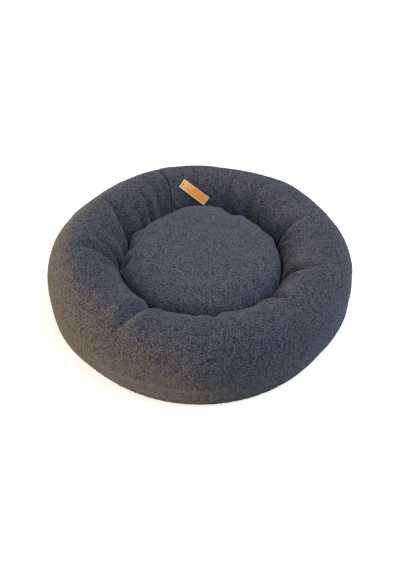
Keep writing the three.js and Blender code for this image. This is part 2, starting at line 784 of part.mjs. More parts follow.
// The label lies slantwise on the inner wall, near the top: X runs along it from its sewn end, and Z away
// from the wall.
function labelFrame() {
  const height =
    RING_WIDEST_HEIGHT +
    (RING_HEIGHT - RING_WIDEST_HEIGHT) * LABEL_PLACE.heightShare;
  const rise = RING_HEIGHT - RING_WIDEST_HEIGHT;
  const reach = height - RING_WIDEST_HEIGHT;
  const halfWidth = halfWidthAt(tubeHalf, rise, RING_TOP_POWER, reach);
  const slope = point(
    -((halfWidth / tubeHalf) ** (RING_TOP_POWER - 1)) / tubeHalf,
    (reach / rise) ** (RING_TOP_POWER - 1) / rise,
  ).normalize();
  const turn = radians(LABEL_PLACE.angle);
  const [c, k] = [Math.cos(turn), Math.sin(turn)];
  const out = new THREE.Vector3(slope.x * c, slope.x * k, slope.y);
  const level = new THREE.Vector3(k, -c, 0);
  const down = new THREE.Vector3().crossVectors(out, level).negate();
  const slant = radians(LABEL_PLACE.turnAngle);
  const along = level
    .clone()
    .multiplyScalar(Math.cos(slant))
    .addScaledVector(down, Math.sin(slant));
  const across = new THREE.Vector3().crossVectors(out, along);
  const wall = ringRule(LABEL_PLACE.angle, ringRadius - halfWidth, height);
  const middle = new THREE.Vector3(wall.radius * c, wall.radius * k, wall.height);
  const start = middle
    .addScaledVector(along, -LABEL_LENGTH / 2)
    .addScaledVector(out, LABEL_STANDOFF);
  return new THREE.Matrix4().makeBasis(along, across, out).setPosition(start);
}

// The label is one strip that bends across its width just past its sewn end, so it is made in two lengths.
function labelLengths() {
  const shape = roundedRectangle(LABEL_LENGTH, LABEL_WIDTH, LABEL_CORNER);
  const plate = slab(shape, 0, LABEL_THICKNESS).translate([
    LABEL_LENGTH / 2,
    0,
    0,
  ]);
  const hole = new THREE.CylinderGeometry(
    LABEL_HOLE_RADIUS,
    LABEL_HOLE_RADIUS,
    CUT_OVERRUN,
    BORE_STEPS,
  );
  const punch = hole.rotateX(Math.PI / 2).translate(LABEL_HOLE_INSET, 0, 0);
  const side = LABEL_WIDTH;
  const high = CUT_OVERRUN;
  const bendEnd = LABEL_SEWN_LENGTH + LABEL_BEND_GAP;
  const past = LABEL_LENGTH + CUT_OVERRUN;
  const beyond = block(LABEL_SEWN_LENGTH, past, -side, side, -high, high);
  const before = block(-CUT_OVERRUN, bendEnd, -side, side, -high, high);
  return {
    sewn: geometryOf(plate.subtract(solidOf(punch)).subtract(beyond)),
    flap: geometryOf(plate.subtract(before)),
  };
}

// The knotted thread through the label's hole: a head on the label's face, and a leg that reaches to the
// fleece.
function threadGeometry() {
  const foot = -LABEL_STANDOFF + FIT_GAP;
  const neck = LABEL_THICKNESS + FIT_GAP;
  const top = neck + LABEL_THREAD_HEAD;
  const profile = [
    point(0, foot),
    point(LABEL_THREAD_RADIUS, foot),
    point(LABEL_THREAD_RADIUS, neck),
    point(LABEL_THREAD_HEAD_RADIUS, neck),
    point(LABEL_THREAD_HEAD_RADIUS, top),
    point(0, top),
  ];
  return turned(profile, BORE_STEPS).translate(LABEL_HOLE_INSET, 0, 0);
}

const labelPlace = labelFrame();
const labelParts = labelLengths();
add("label_sewn_end", labelParts.sewn, leather, labelPlace);
add("label_flap", labelParts.flap, leather, labelPlace);
add("label_thread", threadGeometry(), thread, labelPlace);

export default group;
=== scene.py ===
"""A round donut pet bed: a gathered fleece ring, a loose round cushion, a woven base, two zips and a label.

The shapes are worked out in millimetres and made in metres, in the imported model's own frame: +Z up, the
origin in the middle of the base's underside, +Y to the back. Angles in plan are in degrees from +X.
"""

import logging
import math
from collections.abc import Callable
from dataclasses import dataclass, field
from enum import Enum
from itertools import product

import bmesh
import bpy
import numpy as np
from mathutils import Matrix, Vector


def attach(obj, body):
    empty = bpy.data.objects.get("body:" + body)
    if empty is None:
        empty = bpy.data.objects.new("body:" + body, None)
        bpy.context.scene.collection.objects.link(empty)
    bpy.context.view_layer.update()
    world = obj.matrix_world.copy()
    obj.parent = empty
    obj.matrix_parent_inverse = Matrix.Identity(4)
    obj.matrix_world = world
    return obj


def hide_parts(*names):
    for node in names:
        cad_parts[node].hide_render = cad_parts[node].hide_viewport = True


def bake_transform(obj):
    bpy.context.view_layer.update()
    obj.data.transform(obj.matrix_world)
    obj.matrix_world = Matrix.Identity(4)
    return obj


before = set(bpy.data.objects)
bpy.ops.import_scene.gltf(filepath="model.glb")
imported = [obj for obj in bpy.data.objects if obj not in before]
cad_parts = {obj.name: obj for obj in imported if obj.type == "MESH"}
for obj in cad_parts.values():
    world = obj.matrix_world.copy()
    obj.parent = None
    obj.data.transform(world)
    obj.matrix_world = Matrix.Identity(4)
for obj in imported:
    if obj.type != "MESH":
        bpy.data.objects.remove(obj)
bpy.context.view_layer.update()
MM = 0.001
LOG = logging.getLogger("bed")

Array = np.ndarray
Piece = bpy.types.Object
Material = bpy.types.Material
Socket = bpy.types.NodeSocket
Colour = tuple[float, float, float]
Size = tuple[float, float, float]


class Slot(Enum):
    """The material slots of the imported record."""

    FLEECE = "fleece"
    BASE = "woven_base"
    LINING = "lining"
    WADDING = "wadding"
    TAPE = "zip_tape"
    COIL = "zip_coil"
    METAL = "zip_metal"
    LABEL = "label"
    THREAD = "label_thread"


class Body(Enum):
    """The bodies that pieces ride on."""

    RING = "ring"
    CUSHION = "cushion"
    RING_SLIDER = "ring_zip_slider"
    RING_PULL = "ring_zip_pull"
    CUSHION_SLIDER = "cushion_zip_slider"
    CUSHION_PULL = "cushion_zip_pull"
    LABEL = "label"


# Numbers on whole arrays


def smoothstep(value: Array, low: float, high: float) -> Array:
    """A smooth rise from 0 at low to 1 at high."""
    t = np.clip((value - low) / (high - low), 0.0, 1.0)
    return t * t * (3 - 2 * t)


def turn_between(degrees: Array, middle: Array | float) -> Array:
    """The signed angle from middle to each of some angles, from -180 to 180 degrees."""
    return (degrees - middle + 180) % 360 - 180


def curve_through(points: list[Array], t: Array | float) -> Array:
    """A smooth curve between the second and third of four values, at a share of the way."""
    a, b, c, d = points
    cubic = (3 * (b - c) + d - a) * t**3
    square = (2 * a - 5 * b + 4 * c - d) * t**2
    return b + (cubic + square + (c - a) * t) / 2


def around_table(table: tuple[float, ...], degrees: Array) -> Array:
    """A smooth value at any angle from values at equal steps round the circle.

    Args:
        table: The values, the first of them at 0 degrees.
        degrees: The angles that are asked for.

    Returns:
        The values there, on a smooth curve through the table.
    """
    values = np.asarray(table, float)
    at = (degrees % 360) / 360 * len(values)
    i = np.floor(at).astype(int)
    return curve_through([values[(i + k) % len(values)] for k in (-1, 0, 1, 2)], at - i)


def lengths_along(line: Array) -> Array:
    """How far along a line each of its points is."""
    return np.concatenate([[0], np.cumsum(np.linalg.norm(np.diff(line, axis=0), axis=1))])


def round_axis(reach: Array, turn: Array, height: Array) -> Array:
    """Points from their distances from the axis, their angles in radians and their heights."""
    return np.stack([reach * np.cos(turn), reach * np.sin(turn), height], axis=-1)


def numbered(rows: int, columns: int) -> Array:
    """A grid's point numbers, row by row."""
    return np.arange(rows * columns).reshape(rows, columns)


def half_width(half: float, rise: float, power: float, height: Array) -> Array:
    """Half the width of a rounded section at a height above or below its widest level."""
    share = np.clip(height / rise, 0.0, 1.0)
    return half * (1 - share**power) ** (1 / power)


def hashed(cells: Array, seed: int) -> Array:
    """A fixed number from 0 to 1 for each cell of a lattice, which looks random.

    Args:
        cells: Three whole numbers for each cell.
        seed: Another seed gives other numbers.

    Returns:
        One number for each cell.
    """
    a, b, c = (cells[..., k].astype(np.int64).astype(np.uint32) for k in range(3))
    h = a * np.uint32(0x9E3779B1) ^ b * np.uint32(0x85EBCA77) ^ c * np.uint32(0xC2B2AE3D)
    h = h ^ np.uint32((seed * 0x27D4EB2F) & 0xFFFFFFFF)
    for shift, factor in ((15, 0x2C1B3C6D), (12, 0x297A2D39)):
        h = (h ^ (h >> np.uint32(shift))) * np.uint32(factor)
    h = h ^ (h >> np.uint32(15))
    return h.astype(np.float32) / np.float32(2**32)


def smooth_noise(points: Array, size: float, seed: int) -> Array:
    """Soft lumps of a size through space.

    Args:
        points: Points, three numbers each.
        size: How far apart the lumps are, in the points' unit.
        seed: Another seed gives other lumps.

    Returns:
        A value from -1 to 1 for each point.
    """
    at = points / size
    cell = np.floor(at)
    t = at - cell
    t = t * t * t * (t * (t * 6 - 15) + 10)
    total = np.zeros(points.shape[:-1])
    for steps in product((0, 1), repeat=3):
        near = [t[..., k] if step else 1 - t[..., k] for k, step in enumerate(steps)]
        total += near[0] * near[1] * near[2] * hashed(cell + steps, seed)
    return 2 * total - 1


@dataclass(frozen=True)
class Tufts:
    """The plump curls of a teddy fleece, parted by thin uneven gaps, as heights on a surface.

    Attributes:
        size: The curls' usual distance, mm.
        height: How far a curl stands above a deep gap, mm.
        seed: Another seed gives other curls.
    """

    size: float = 4.3
    height: float = 1.4
    seed: int = 11

    def cells(self, points: Array, size: float, seed: int) -> tuple[Array, Array]:
        """Clumps of one size.

        Args:
            points: Points of the smooth surface, mm.
            size: The clumps' usual distance, mm.
            seed: Another seed gives other clumps.

        Returns:
            How far each point is from the nearest gap, as a share of the size, and its clump's tone.
        """
        scaled = (points / size).astype(np.float32)
        cell = np.floor(scaled)
        nearest = np.full(len(points), 9.0, np.float32)
        second = np.full(len(points), 9.0, np.float32)
        tone = np.zeros(len(points), np.float32)
        for offset in product((-1, 0, 1), repeat=3):
            spot = cell + np.array(offset, np.float32)
            parts = [hashed(spot, seed + k) for k in range(3)]
            gap = spot + np.stack(parts, axis=1) - scaled
            away = np.sqrt((gap * gap).sum(axis=1))
            closer = away < nearest
            second = np.where(closer, nearest, np.minimum(second, away))
            tone = np.where(closer, parts[1], tone)
            nearest = np.where(closer, away, nearest)
        return second - nearest, tone

    def at(self, surface: Array) -> tuple[Array, Array]:
        """How high the fleece stands at each point, and how light its curl is.

        Args:
            surface: The smooth surface as a grid of points, mm.

        Returns:
            The height from 0, in a gap, to 1, on a full curl, and a tone from 0 to 1 for each point.
        """
        points = surface.reshape(-1, 3)
        drift = [smooth_noise(points, 1.3 * self.size, self.seed + 40 + k) for k in range(3)]
        bent = points + 0.22 * self.size * np.stack(drift, axis=1)
        parted, tone = self.cells(bent, self.size, self.seed)
        broken = smoothstep(smooth_noise(points, 1.5 * self.size, self.seed + 50), -0.5, 0.4)
        gap = (1 - smoothstep(parted, 0.0, 0.36)) * (0.62 + 0.38 * broken)
        height = (1 - 0.9 * gap) * (1 - 0.2 * tone)
        return height.reshape(surface.shape[:-1]), tone.reshape(surface.shape[:-1])


def fleece_values(tuft: Array, tone: Array, count: int) -> dict[str, Array]:
    """What the fleece finish reads at a cover's points: its face's values, then plain ones."""
    plain = np.zeros(count - tuft.size)
    return {
        "tuft": np.concatenate([tuft.ravel(), plain + 0.4]),
        "tone": np.concatenate([tone.ravel(), plain + 0.5]),
    }


def refined(values: Array, factor: int, axis: int, joined: bool) -> Array:
    """A grid of values with more values between them, on smooth curves through the old ones.

    Args:
        values: The grid.
        factor: How many steps each old step becomes.
        axis: The axis of the grid that is refined.
        joined: Whether the grid closes on itself along that axis.

    Returns:
        The finer grid.
    """
    v = np.moveaxis(values, axis, 0)
    if joined:
        padded = np.concatenate([v[-1:], v, v[:2]])
        count = len(v)
    else:
        padded = np.concatenate([2 * v[:1] - v[1:2], v, 2 * v[-1:] - v[-2:-1]])
        count = len(v) - 1
    around = [padded[k : k + count] for k in range(4)]
    parts = [curve_through(around, step / factor) for step in range(factor)]
    out = np.stack(parts, axis=1).reshape((count * factor,) + v.shape[1:])
    if not joined:
        out = np.concatenate([out, v[-1:]])
    return np.moveaxis(out, 0, axis)


def finer(grid: Array, steps: int, joined: bool = False) -> Array:
    """A grid refined along its columns, which may close on themselves, and then along its rows."""
    return refined(refined(grid, steps, 1, joined), steps, 0, False)


def grid_normals(grid: Array, round_rows: bool = False) -> Array:
    """Unit normals of a grid of points whose columns close on themselves.

    Args:
        grid: Rows of points round the axis.
        round_rows: Whether the rows close on themselves too.

    Returns:
        A unit normal for each point, to the left of the rows' direction.
    """
    along = np.roll(grid, -1, axis=1) - np.roll(grid, 1, axis=1)
    if round_rows:
        up = np.roll(grid, -1, axis=0) - np.roll(grid, 1, axis=0)
    else:
        up = np.gradient(grid, axis=0)
    return unit(np.cross(along, up))


def unit(directions: Array) -> Array:
    """Directions made one unit long."""
    return directions / np.maximum(np.linalg.norm(directions, axis=-1, keepdims=True), 1e-9)


def top_normals(grid: Array) -> Array:
    """Unit normals of an open grid that lies across the axis, upwards."""
    return unit(np.cross(np.gradient(grid, axis=1), np.gradient(grid, axis=0)))


# Meshes


def build_mesh(
    name: str,
    points: Array,
    faces: Array,
    attributes: dict[str, Array] | None = None,
    flat: Array | None = None,
) -> Piece:
    """A new object with a smooth mesh of four-cornered faces.

    Args:
        name: The piece's name.
        points: The points, mm.
        faces: Four point numbers for each face, in turn as seen from outside. Where the last two are
            one, the face has three corners.
        attributes: Named values, one for each point.
        flat: Where each point lay when the cloth was flat, two numbers each in metres.

    Returns:
        The object, at the origin.
    """
    points, faces = points.reshape(-1, 3), faces.reshape(-1, 4)
    used, compact = np.unique(faces, return_inverse=True)
    sides = np.where(faces[:, 2] == faces[:, 3], 3, 4).astype(np.int32)
    corners = compact.reshape(-1, 4)[np.arange(4) < sides[:, None]].astype(np.int32)
    count = len(faces)
    mesh = bpy.data.meshes.new(name)
    mesh.vertices.add(len(used))
    mesh.vertices.foreach_set("co", (points[used] * MM).astype(np.float32).ravel())
    mesh.loops.add(len(corners))
    mesh.loops.foreach_set("vertex_index", corners)
    mesh.polygons.add(count)
    starts = np.cumsum(sides, dtype=np.int32) - sides
    mesh.polygons.foreach_set("loop_start", starts.astype(np.int32))
    mesh.polygons.foreach_set("loop_total", sides)
    mesh.polygons.foreach_set("use_smooth", np.ones(count, bool))
    mesh.update(calc_edges=True)
    for key, values in (attributes or {}).items():
        layer = mesh.attributes.new(key, "FLOAT", "POINT")
        layer.data.foreach_set("value", values[used].astype(np.float32))
    if flat is not None:
        layer = mesh.uv_layers.new(name="cloth")
        layer.data.foreach_set("uv", flat[used][corners].astype(np.float32).ravel())
    made = bpy.data.objects.new(name, mesh)
    bpy.context.scene.collection.objects.link(made)
    return made


def grid_faces(numbers: Array, round_rows: bool = False, round_columns: bool = False) -> Array:
    """The faces between neighbouring points of a grid of point numbers.

    Args:
        numbers: The point numbers, row by row.
        round_rows: Whether the last row joins the first.
        round_columns: Whether the last column joins the first.

    Returns:
        Rows by columns of faces, four point numbers each.
    """
    n = numbers
    if round_rows:
        n = np.concatenate([n, n[:1]], axis=0)
    if round_columns:
        n = np.concatenate([n, n[:, :1]], axis=1)
    return np.stack([n[:-1, :-1], n[:-1, 1:], n[1:, 1:], n[1:, :-1]], axis=-1)


def closed_shell(outer: Array, inner: Array, faces: Array) -> tuple[Array, Array]:
    """A wall between two surfaces that have the same faces, closed along every open edge.

    Args:
        outer: The outer surface's points.
        inner: The inner surface's points, as many.
        faces: The outer surface's faces, four point numbers each.

    Returns:
        All points, and all faces.
    """
    outer, inner, faces = outer.reshape(-1, 3), inner.reshape(-1, 3), faces.reshape(-1, 4)
    edges = np.concatenate([faces[:, [k, (k + 1) % 4]] for k in range(4)])
    count = len(outer)
    forward = edges[:, 0].astype(np.int64) * count + edges[:, 1]
    backward = edges[:, 1].astype(np.int64) * count + edges[:, 0]
    rim = edges[~np.isin(forward, backward)]
    walls = np.stack([rim[:, 1], rim[:, 0], rim[:, 0] + count, rim[:, 1] + count], axis=1)
    back = faces[:, ::-1] + count
    return np.concatenate([outer, inner]), np.concatenate([faces, back, walls])


@dataclass(frozen=True)
class Inflation:
    """How a stuffed piece is blown up by a cloth simulation.

    Attributes:
        pressure: The push on its inside.
        growth: How much longer its cloth is than its shape, which gives it creases.
        cap: The most that a point may move, mm.
        frames: How many steps the simulation runs.
        bending: How stiff the cloth is.
    """

    pressure: float = 4.0
    growth: float = 0.02
    cap: float = 7.0
    frames: int = 16
    bending: float = 0.6

    def run(self, points: Array, faces: Array, held: Array) -> Array:
        """The points after the piece is blown up.

        Args:
            points: The points before, mm.
            faces: The faces of a closed mesh of them.
            held: From 0, free, to 1, held where it is, for each point.

        Returns:
            The points after, mm, each within the cap of where it was.
        """
        soft = build_mesh("inflated", points, faces)
        group = soft.vertex_groups.new(name="held")
        steps = np.round(held, 2)
        for level in np.unique(steps[steps > 0]):
            chosen = np.nonzero(steps == level)[0].tolist()
            group.add(chosen, float(level), "REPLACE")
        cloth = soft.modifiers.new("cloth", "CLOTH")
        settings = cloth.settings
        settings.quality = 5
        settings.mass = 0.15
        settings.tension_stiffness = 15
        settings.compression_stiffness = 15
        settings.shear_stiffness = 5
        settings.bending_stiffness = self.bending
        settings.air_damping = 2
        settings.use_pressure = True
        settings.uniform_pressure_force = self.pressure
        settings.shrink_min = -self.growth
        settings.effector_weights.gravity = 0
        settings.vertex_group_mass = group.name
        settings.pin_stiffness = 4
        cloth.collision_settings.use_collision = False
        cloth.point_cache.frame_start = 1
        cloth.point_cache.frame_end = self.frames + 1
        scene = bpy.context.scene
        for number in range(1, self.frames + 1):
            scene.frame_set(number)
        shown = soft.evaluated_get(bpy.context.evaluated_depsgraph_get())
        after = np.zeros(len(shown.data.vertices) * 3, np.float32)
        shown.data.vertices.foreach_get("co", after)
        scene.frame_set(1)
        old = soft.data
        bpy.data.objects.remove(soft)
        bpy.data.meshes.remove(old)
        moved = after.reshape(-1, 3).astype(float) / MM - points
        length = np.linalg.norm(moved, axis=1, keepdims=True)
        return points + moved * np.minimum(1, self.cap / np.maximum(length, 1e-9))


# Finishes


class Nodes:
    """The nodes of a material or of the world, made one at a time."""

    def __init__(self, owner: bpy.types.ID) -> None:
        """Turns the owner's nodes on."""
        owner.use_nodes = True
        self.tree = owner.node_tree

    def node(self, kind: str, inputs: dict | None = None, **settings: object) -> bpy.types.Node:
        """A new node.

        Args:
            kind: The node's type, without the words that all types start with.
            inputs: What feeds its inputs, by their names or numbers.
            settings: Its own settings by name.

        Returns:
            The node.
        """
        made = self.tree.nodes.new("ShaderNode" + kind)
        for key, value in settings.items():
            setattr(made, key, value)
        for key, value in (inputs or {}).items():
            self.feed(made.inputs[key], value)
        return made

    def feed(self, target: Socket, source: object) -> None:
        """Gives a socket a plain value, or links it to another socket."""
        if isinstance(source, Socket):
            self.tree.links.new(source, target)
        else:
            target.default_value = source

    def math(self, operation: str, a: object, b: object = 0.0, clamp: bool = False) -> Socket:
        """The result of a sum on two values."""
        return self.node("Math", {0: a, 1: b}, operation=operation, use_clamp=clamp).outputs[0]

    def seen_plainly(self) -> Socket:
        """1 for rays from the camera, from gloss and through glass, and 0 for light that is cast."""
        path = self.node("LightPath").outputs
        seen = self.math("MAXIMUM", path["Is Camera Ray"], path["Is Glossy Ray"])
        return self.math("MAXIMUM", seen, path["Is Transmission Ray"])


class Shader(Nodes):
    """A material's nodes."""

    def __init__(self, name: str) -> None:
        """Starts a material with one principled shader."""
        self.material = bpy.data.materials.new(name)
        super().__init__(self.material)
        self.main = self.tree.nodes["Principled BSDF"]
        self.place = self.node("TexCoord").outputs["Object"]

    def noise(
        self, scale: float, detail: float = 2.0, roughness: float = 0.5, place: object = None
    ) -> Socket:
        """Cloudy values through space.

        Args:
            scale: Clouds to a metre.
            detail: How many finer layers it has.
            roughness: How strong the finer layers are.
            place: The coordinates, where they aren't the object's own.

        Returns:
            The value's socket.
        """
        cloud = {"Vector": place or self.place, "Scale": scale, "Detail": detail}
        return self.node("TexNoise", {**cloud, "Roughness": roughness}).outputs["Fac"]

    def parting(self, scale: float, place: bpy.types.Node) -> Socket:
        """How far each point is from the partings between cells, as a share of their size.

        Args:
            scale: Cells to a metre.
            place: The node that gives the coordinates.

        Returns:
            The distance's socket.
        """
        inputs = {"Vector": place.outputs[0], "Scale": scale}
        return self.node("TexVoronoi", inputs, feature="DISTANCE_TO_EDGE").outputs["Distance"]

    def span(
        self, value: object, low: float, high: float, to_low: float = 0.0, to_high: float = 1.0
    ) -> Socket:
        """A value moved from one range to another, and held inside it."""
        inputs = dict(enumerate((value, low, high, to_low, to_high)))
        return self.node("MapRange", inputs, clamp=True).outputs["Result"]

    def mix(self, share: object, first: object, second: object) -> Socket:
        """Two colours mixed by a share.

        Args:
            share: From 0, the first colour, to 1, the second.
            first: A colour or a colour socket.
            second: The same.

        Returns:
            The mixed colour's socket.
        """
        made = self.node("Mix", data_type="RGBA")
        self.feed(made.inputs["Factor"], share)
        for socket, given in ((made.inputs[6], first), (made.inputs[7], second)):
            self.feed(socket, (*given, 1.0) if isinstance(given, tuple) else given)
        return made.outputs[2]

    def value_of(self, name: str) -> Socket:
        """A named value of the mesh's points."""
        return self.node("Attribute", attribute_name=name).outputs["Fac"]

    def bump(self, height: Socket, strength: float, distance: float) -> Socket:
        """A surface that stands up with a height.

        Args:
            height: The height's socket.
            strength: How much of it shows.
            distance: How far 1 stands up, in metres.

        Returns:
            The new normal's socket.
        """
        inputs = {"Height": height, "Strength": strength, "Distance": distance}
        return self.node("Bump", inputs).outputs["Normal"]

    def finish(self, **sockets: object) -> Material:
        """Sets the main shader's sockets, named with underscores for spaces, and returns the material."""
        for key, value in sockets.items():
            self.feed(self.main.inputs[key.replace("_", " ")], value)
        return self.material


@dataclass(frozen=True)
class FleeceFinish:
    """Dark teddy fleece: light curl tips, dark gaps, a soft sheen, and painted shade where the mesh's tuft
    values are lowered.

    Attributes:
        tip: The colour on the curls.
        gap: The colour between them.
        warm: A browner tone that drifts through it.
        sheen: The colour of the fibres' sheen.
    """

    tip: Colour = (0.108, 0.118, 0.160)
    gap: Colour = (0.024, 0.024, 0.031)
    warm: Colour = (0.118, 0.117, 0.140)
    sheen: Colour = (0.62, 0.68, 0.82)

    def material(self, name: str) -> Material:
        """The fleece as a material, which reads the mesh's curls and the painted shade in its tuft values.
        """
        s = Shader(name)
        tuft, tone = s.value_of("tuft"), s.value_of("tone")
        drift = s.node("TexNoise", {"Vector": s.place, "Scale": 300.0})
        moved = {0: drift.outputs["Color"], 1: (0.0022, 0.0022, 0.0022), 2: s.place}
        bent = s.node("VectorMath", moved, operation="MULTIPLY_ADD")
        broken = s.span(s.noise(330, 2), 0.45, 0.65, 0.0, 0.45)
        curls = s.math("MAXIMUM", s.span(s.parting(225.0, bent), 0.03, 0.17), broken)
        strands = s.span(s.parting(520.0, bent), 0.0, 0.16, 0.66, 1.0)
        fibre = s.span(s.noise(1100, 3, 0.7), 0.3, 0.7, -0.12, 0.12)
        height = s.math("MULTIPLY", curls, strands)
        # Curl height is scaled by the tuft values, which carry painted shade where they were lowered;
        # values below 0 are painted shade alone and darken further.
        worn = s.math("MULTIPLY", s.span(tuft, 0.1, 0.7, 0.64, 1.0), s.span(tone, 0, 1, 1.04, 0.94))
        worn = s.math("MULTIPLY", worn, s.span(tuft, -1.0, 0.0, 0.12, 1.0))
        grain = s.math("ADD", s.math("MULTIPLY", height, worn), fibre, clamp=True)
        tips = s.mix(s.span(s.noise(9, 2), 0.3, 0.8), self.tip, self.warm)
        colour = s.mix(s.span(grain, 0.1, 0.9), self.gap, tips)
        return s.finish(
            Base_Color=colour,
            Roughness=1.0,
            Specular_IOR_Level=0.12,
            Sheen_Weight=0.28,
            Sheen_Roughness=0.45,
            Sheen_Tint=(*self.sheen, 1.0),
            Normal=s.bump(grain, 0.6, 0.0009),
        )


@dataclass(frozen=True)
class WovenFinish:
    """A plain coarse weave, seen on flat cloth.

    Attributes:
        yarn: The colour of the yarns.
        gap: The colour between them.
        pitch: The distance between yarns, mm.
        relief: How far a yarn stands up, mm.
    """

    yarn: Colour = (0.045, 0.047, 0.055)
    gap: Colour = (0.012, 0.012, 0.015)
    pitch: float = 1.3
    relief: float = 0.35

    def material(self, name: str, place: str = "Object") -> Material:
        """The weave as a material.

        Args:
            name: The material's name.
            place: Which coordinates the weave follows, the object's or the piece's own UV.

        Returns:
            The material.
        """
        s = Shader(name)
        if place == "UV":
            s.place = s.node("TexCoord").outputs["UV"]
        turns = math.pi / (self.pitch * MM)
        axes = s.node("SeparateXYZ", {0: s.place})
        waves = [s.math("SINE", s.math("MULTIPLY", axes.outputs[k], turns)) for k in (0, 1)]
        over = s.math("MULTIPLY", waves[0], waves[1])
        ribs = [s.math("ABSOLUTE", wave) for wave in waves]
        height = s.math("MAXIMUM", *ribs)
        crossing = s.math("ADD", s.math("MULTIPLY", height, 0.6), s.span(over, -1, 1, 0, 0.4))
        worn = s.noise(40, 3)
        colour = s.mix(s.span(crossing, 0.35, 0.95), self.gap, self.yarn)
        tired = s.mix(s.span(worn, 0.3, 0.8, 0.0, 0.35), colour, self.yarn)
        return s.finish(
            Base_Color=tired,
            Roughness=0.85,
            Specular_IOR_Level=0.25,
            Sheen_Weight=0.12,
            Sheen_Roughness=0.5,
            Normal=s.bump(crossing, 0.8, self.relief * MM),
        )


@dataclass(frozen=True)
class FeltFinish:
    """Non-woven cloth or wadding: pale, felted fibres.

    Attributes:
        light: The colour of the fibres on top.
        dark: The colour deeper in.
        fibres: Fibre clouds to a metre.
        relief: How far the matting stands up, mm.
    """

    light: Colour
    dark: Colour
    fibres: float = 400
    relief: float = 0.5

    def material(self, name: str) -> Material:
        """The matted cloth as a material."""
        s = Shader(name)
        matting = s.noise(self.fibres, 5, 0.65)
        colour = s.mix(s.span(matting, 0.35, 0.65), self.dark, self.light)
        return s.finish(
            Base_Color=colour,
            Roughness=0.95,
            Specular_IOR_Level=0.2,
            Sheen_Weight=0.1,
            Normal=s.bump(matting, 0.7, self.relief * MM),
        )


@dataclass(frozen=True)
class NylonFinish:
    """Dyed nylon of zip coils, thread and dots.

    Attributes:
        colour: Its colour.
        roughness: How dull it is.
    """

    colour: Colour
    roughness: float = 0.4

    def material(self, name: str) -> Material:
        """The nylon as a material, slightly uneven in tone."""
        s = Shader(name)
        cloud = s.noise(300, 3)
        darker = tuple(0.6 * part for part in self.colour)
        return s.finish(
            Base_Color=s.mix(s.span(cloud, 0.3, 0.7), darker, self.colour),
            Roughness=self.roughness,
            Specular_IOR_Level=0.45,
            Normal=s.bump(s.noise(2500, 2), 0.25, 0.00008),
        )


@dataclass(frozen=True)
class MetalFinish:
    """Dark plated zinc with light rubbed patches and fine scratches.

    Attributes:
        plate: The colour of the plating.
        rubbed: The colour where it is rubbed.
    """

    plate: Colour = (0.23, 0.235, 0.245)
    rubbed: Colour = (0.48, 0.48, 0.49)

    def material(self, name: str) -> Material:
        """The plated metal as a material."""
        s = Shader(name)
        wear = s.span(s.noise(500, 4, 0.6), 0.55, 0.75)
        streaks = s.node("Mapping", {"Vector": s.place, "Scale": (1.0, 1.0, 0.08)})
        scratch = s.noise(6000, 2, 0.5, streaks.outputs["Vector"])
        return s.finish(
            Base_Color=s.mix(wear, self.plate, self.rubbed),
            Metallic=1.0,
            Roughness=s.span(scratch, 0.3, 0.7, 0.28, 0.46),
            Normal=s.bump(scratch, 0.2, 0.00003),
        )


@dataclass(frozen=True)
class LeatherFinish:
    """Smooth tan imitation leather with pale cut edges.

    Attributes:
        face: The colour of the face.
        deep: A browner tone in its grain.
        edge: The colour of the rubbed edges.
    """

    face: Colour = (0.93, 0.36, 0.062)
    deep: Colour = (0.78, 0.28, 0.045)
    edge: Colour = (0.95, 0.60, 0.34)

    def material(self, name: str) -> Material:
        """The leather as a material, which reads where the piece is rubbed pale."""
        s = Shader(name)
        pebble = s.node("TexVoronoi", {"Vector": s.place, "Scale": 1400.0}, feature="SMOOTH_F1")
        cloud = s.noise(120, 4, 0.6)
        face = s.mix(s.span(cloud, 0.3, 0.75), self.deep, self.face)
        edges = s.math("ADD", s.value_of("edge"), s.span(cloud, 0.3, 0.7, -0.12, 0.12), clamp=True)
        return s.finish(
            Base_Color=s.mix(edges, face, self.edge),
            Roughness=s.span(cloud, 0.3, 0.7, 0.5, 0.62),
            Specular_IOR_Level=0.4,
            Normal=s.bump(pebble.outputs["Distance"], 0.3, 0.00012),
        )


@dataclass(frozen=True)
class StudioFinish:
    """The pale floor, which looks white to the camera and keeps the bed's soft shadow.

    Attributes:
        colour: The floor's own colour.
        lift: The light that is added where the camera or a glossy surface sees it.
    """

    colour: Colour = (0.55, 0.55, 0.55)
    lift: float = 0.74

    def material(self, name: str) -> Material:
        """The floor as a material."""
        s = Shader(name)
        grain = s.noise(60, 2)
        off = tuple(0.985 * part for part in self.colour)
        s.finish(Base_Color=s.mix(grain, off, self.colour), Roughness=0.9, Specular_IOR_Level=0.1)
        s.feed(s.main.inputs["Emission Color"], (1.0, 1.0, 1.0, 1.0))
        s.feed(s.main.inputs["Emission Strength"], s.math("MULTIPLY", s.seen_plainly(), self.lift))
        return s.material


def dress(piece: Piece, material: Material) -> None:
    """Gives a piece its one material."""
    piece.data.materials.clear()
    piece.data.materials.append(material)


def seat(piece: Piece, body: Body, node: str) -> Piece:
    """Says what a finished piece is.

    Args:
        piece: The piece.
        body: The body that it rides on.
        node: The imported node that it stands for.

    Returns:
        The same piece.
    """
    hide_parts(node)
    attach(piece, body.value)
    return piece


# The ring


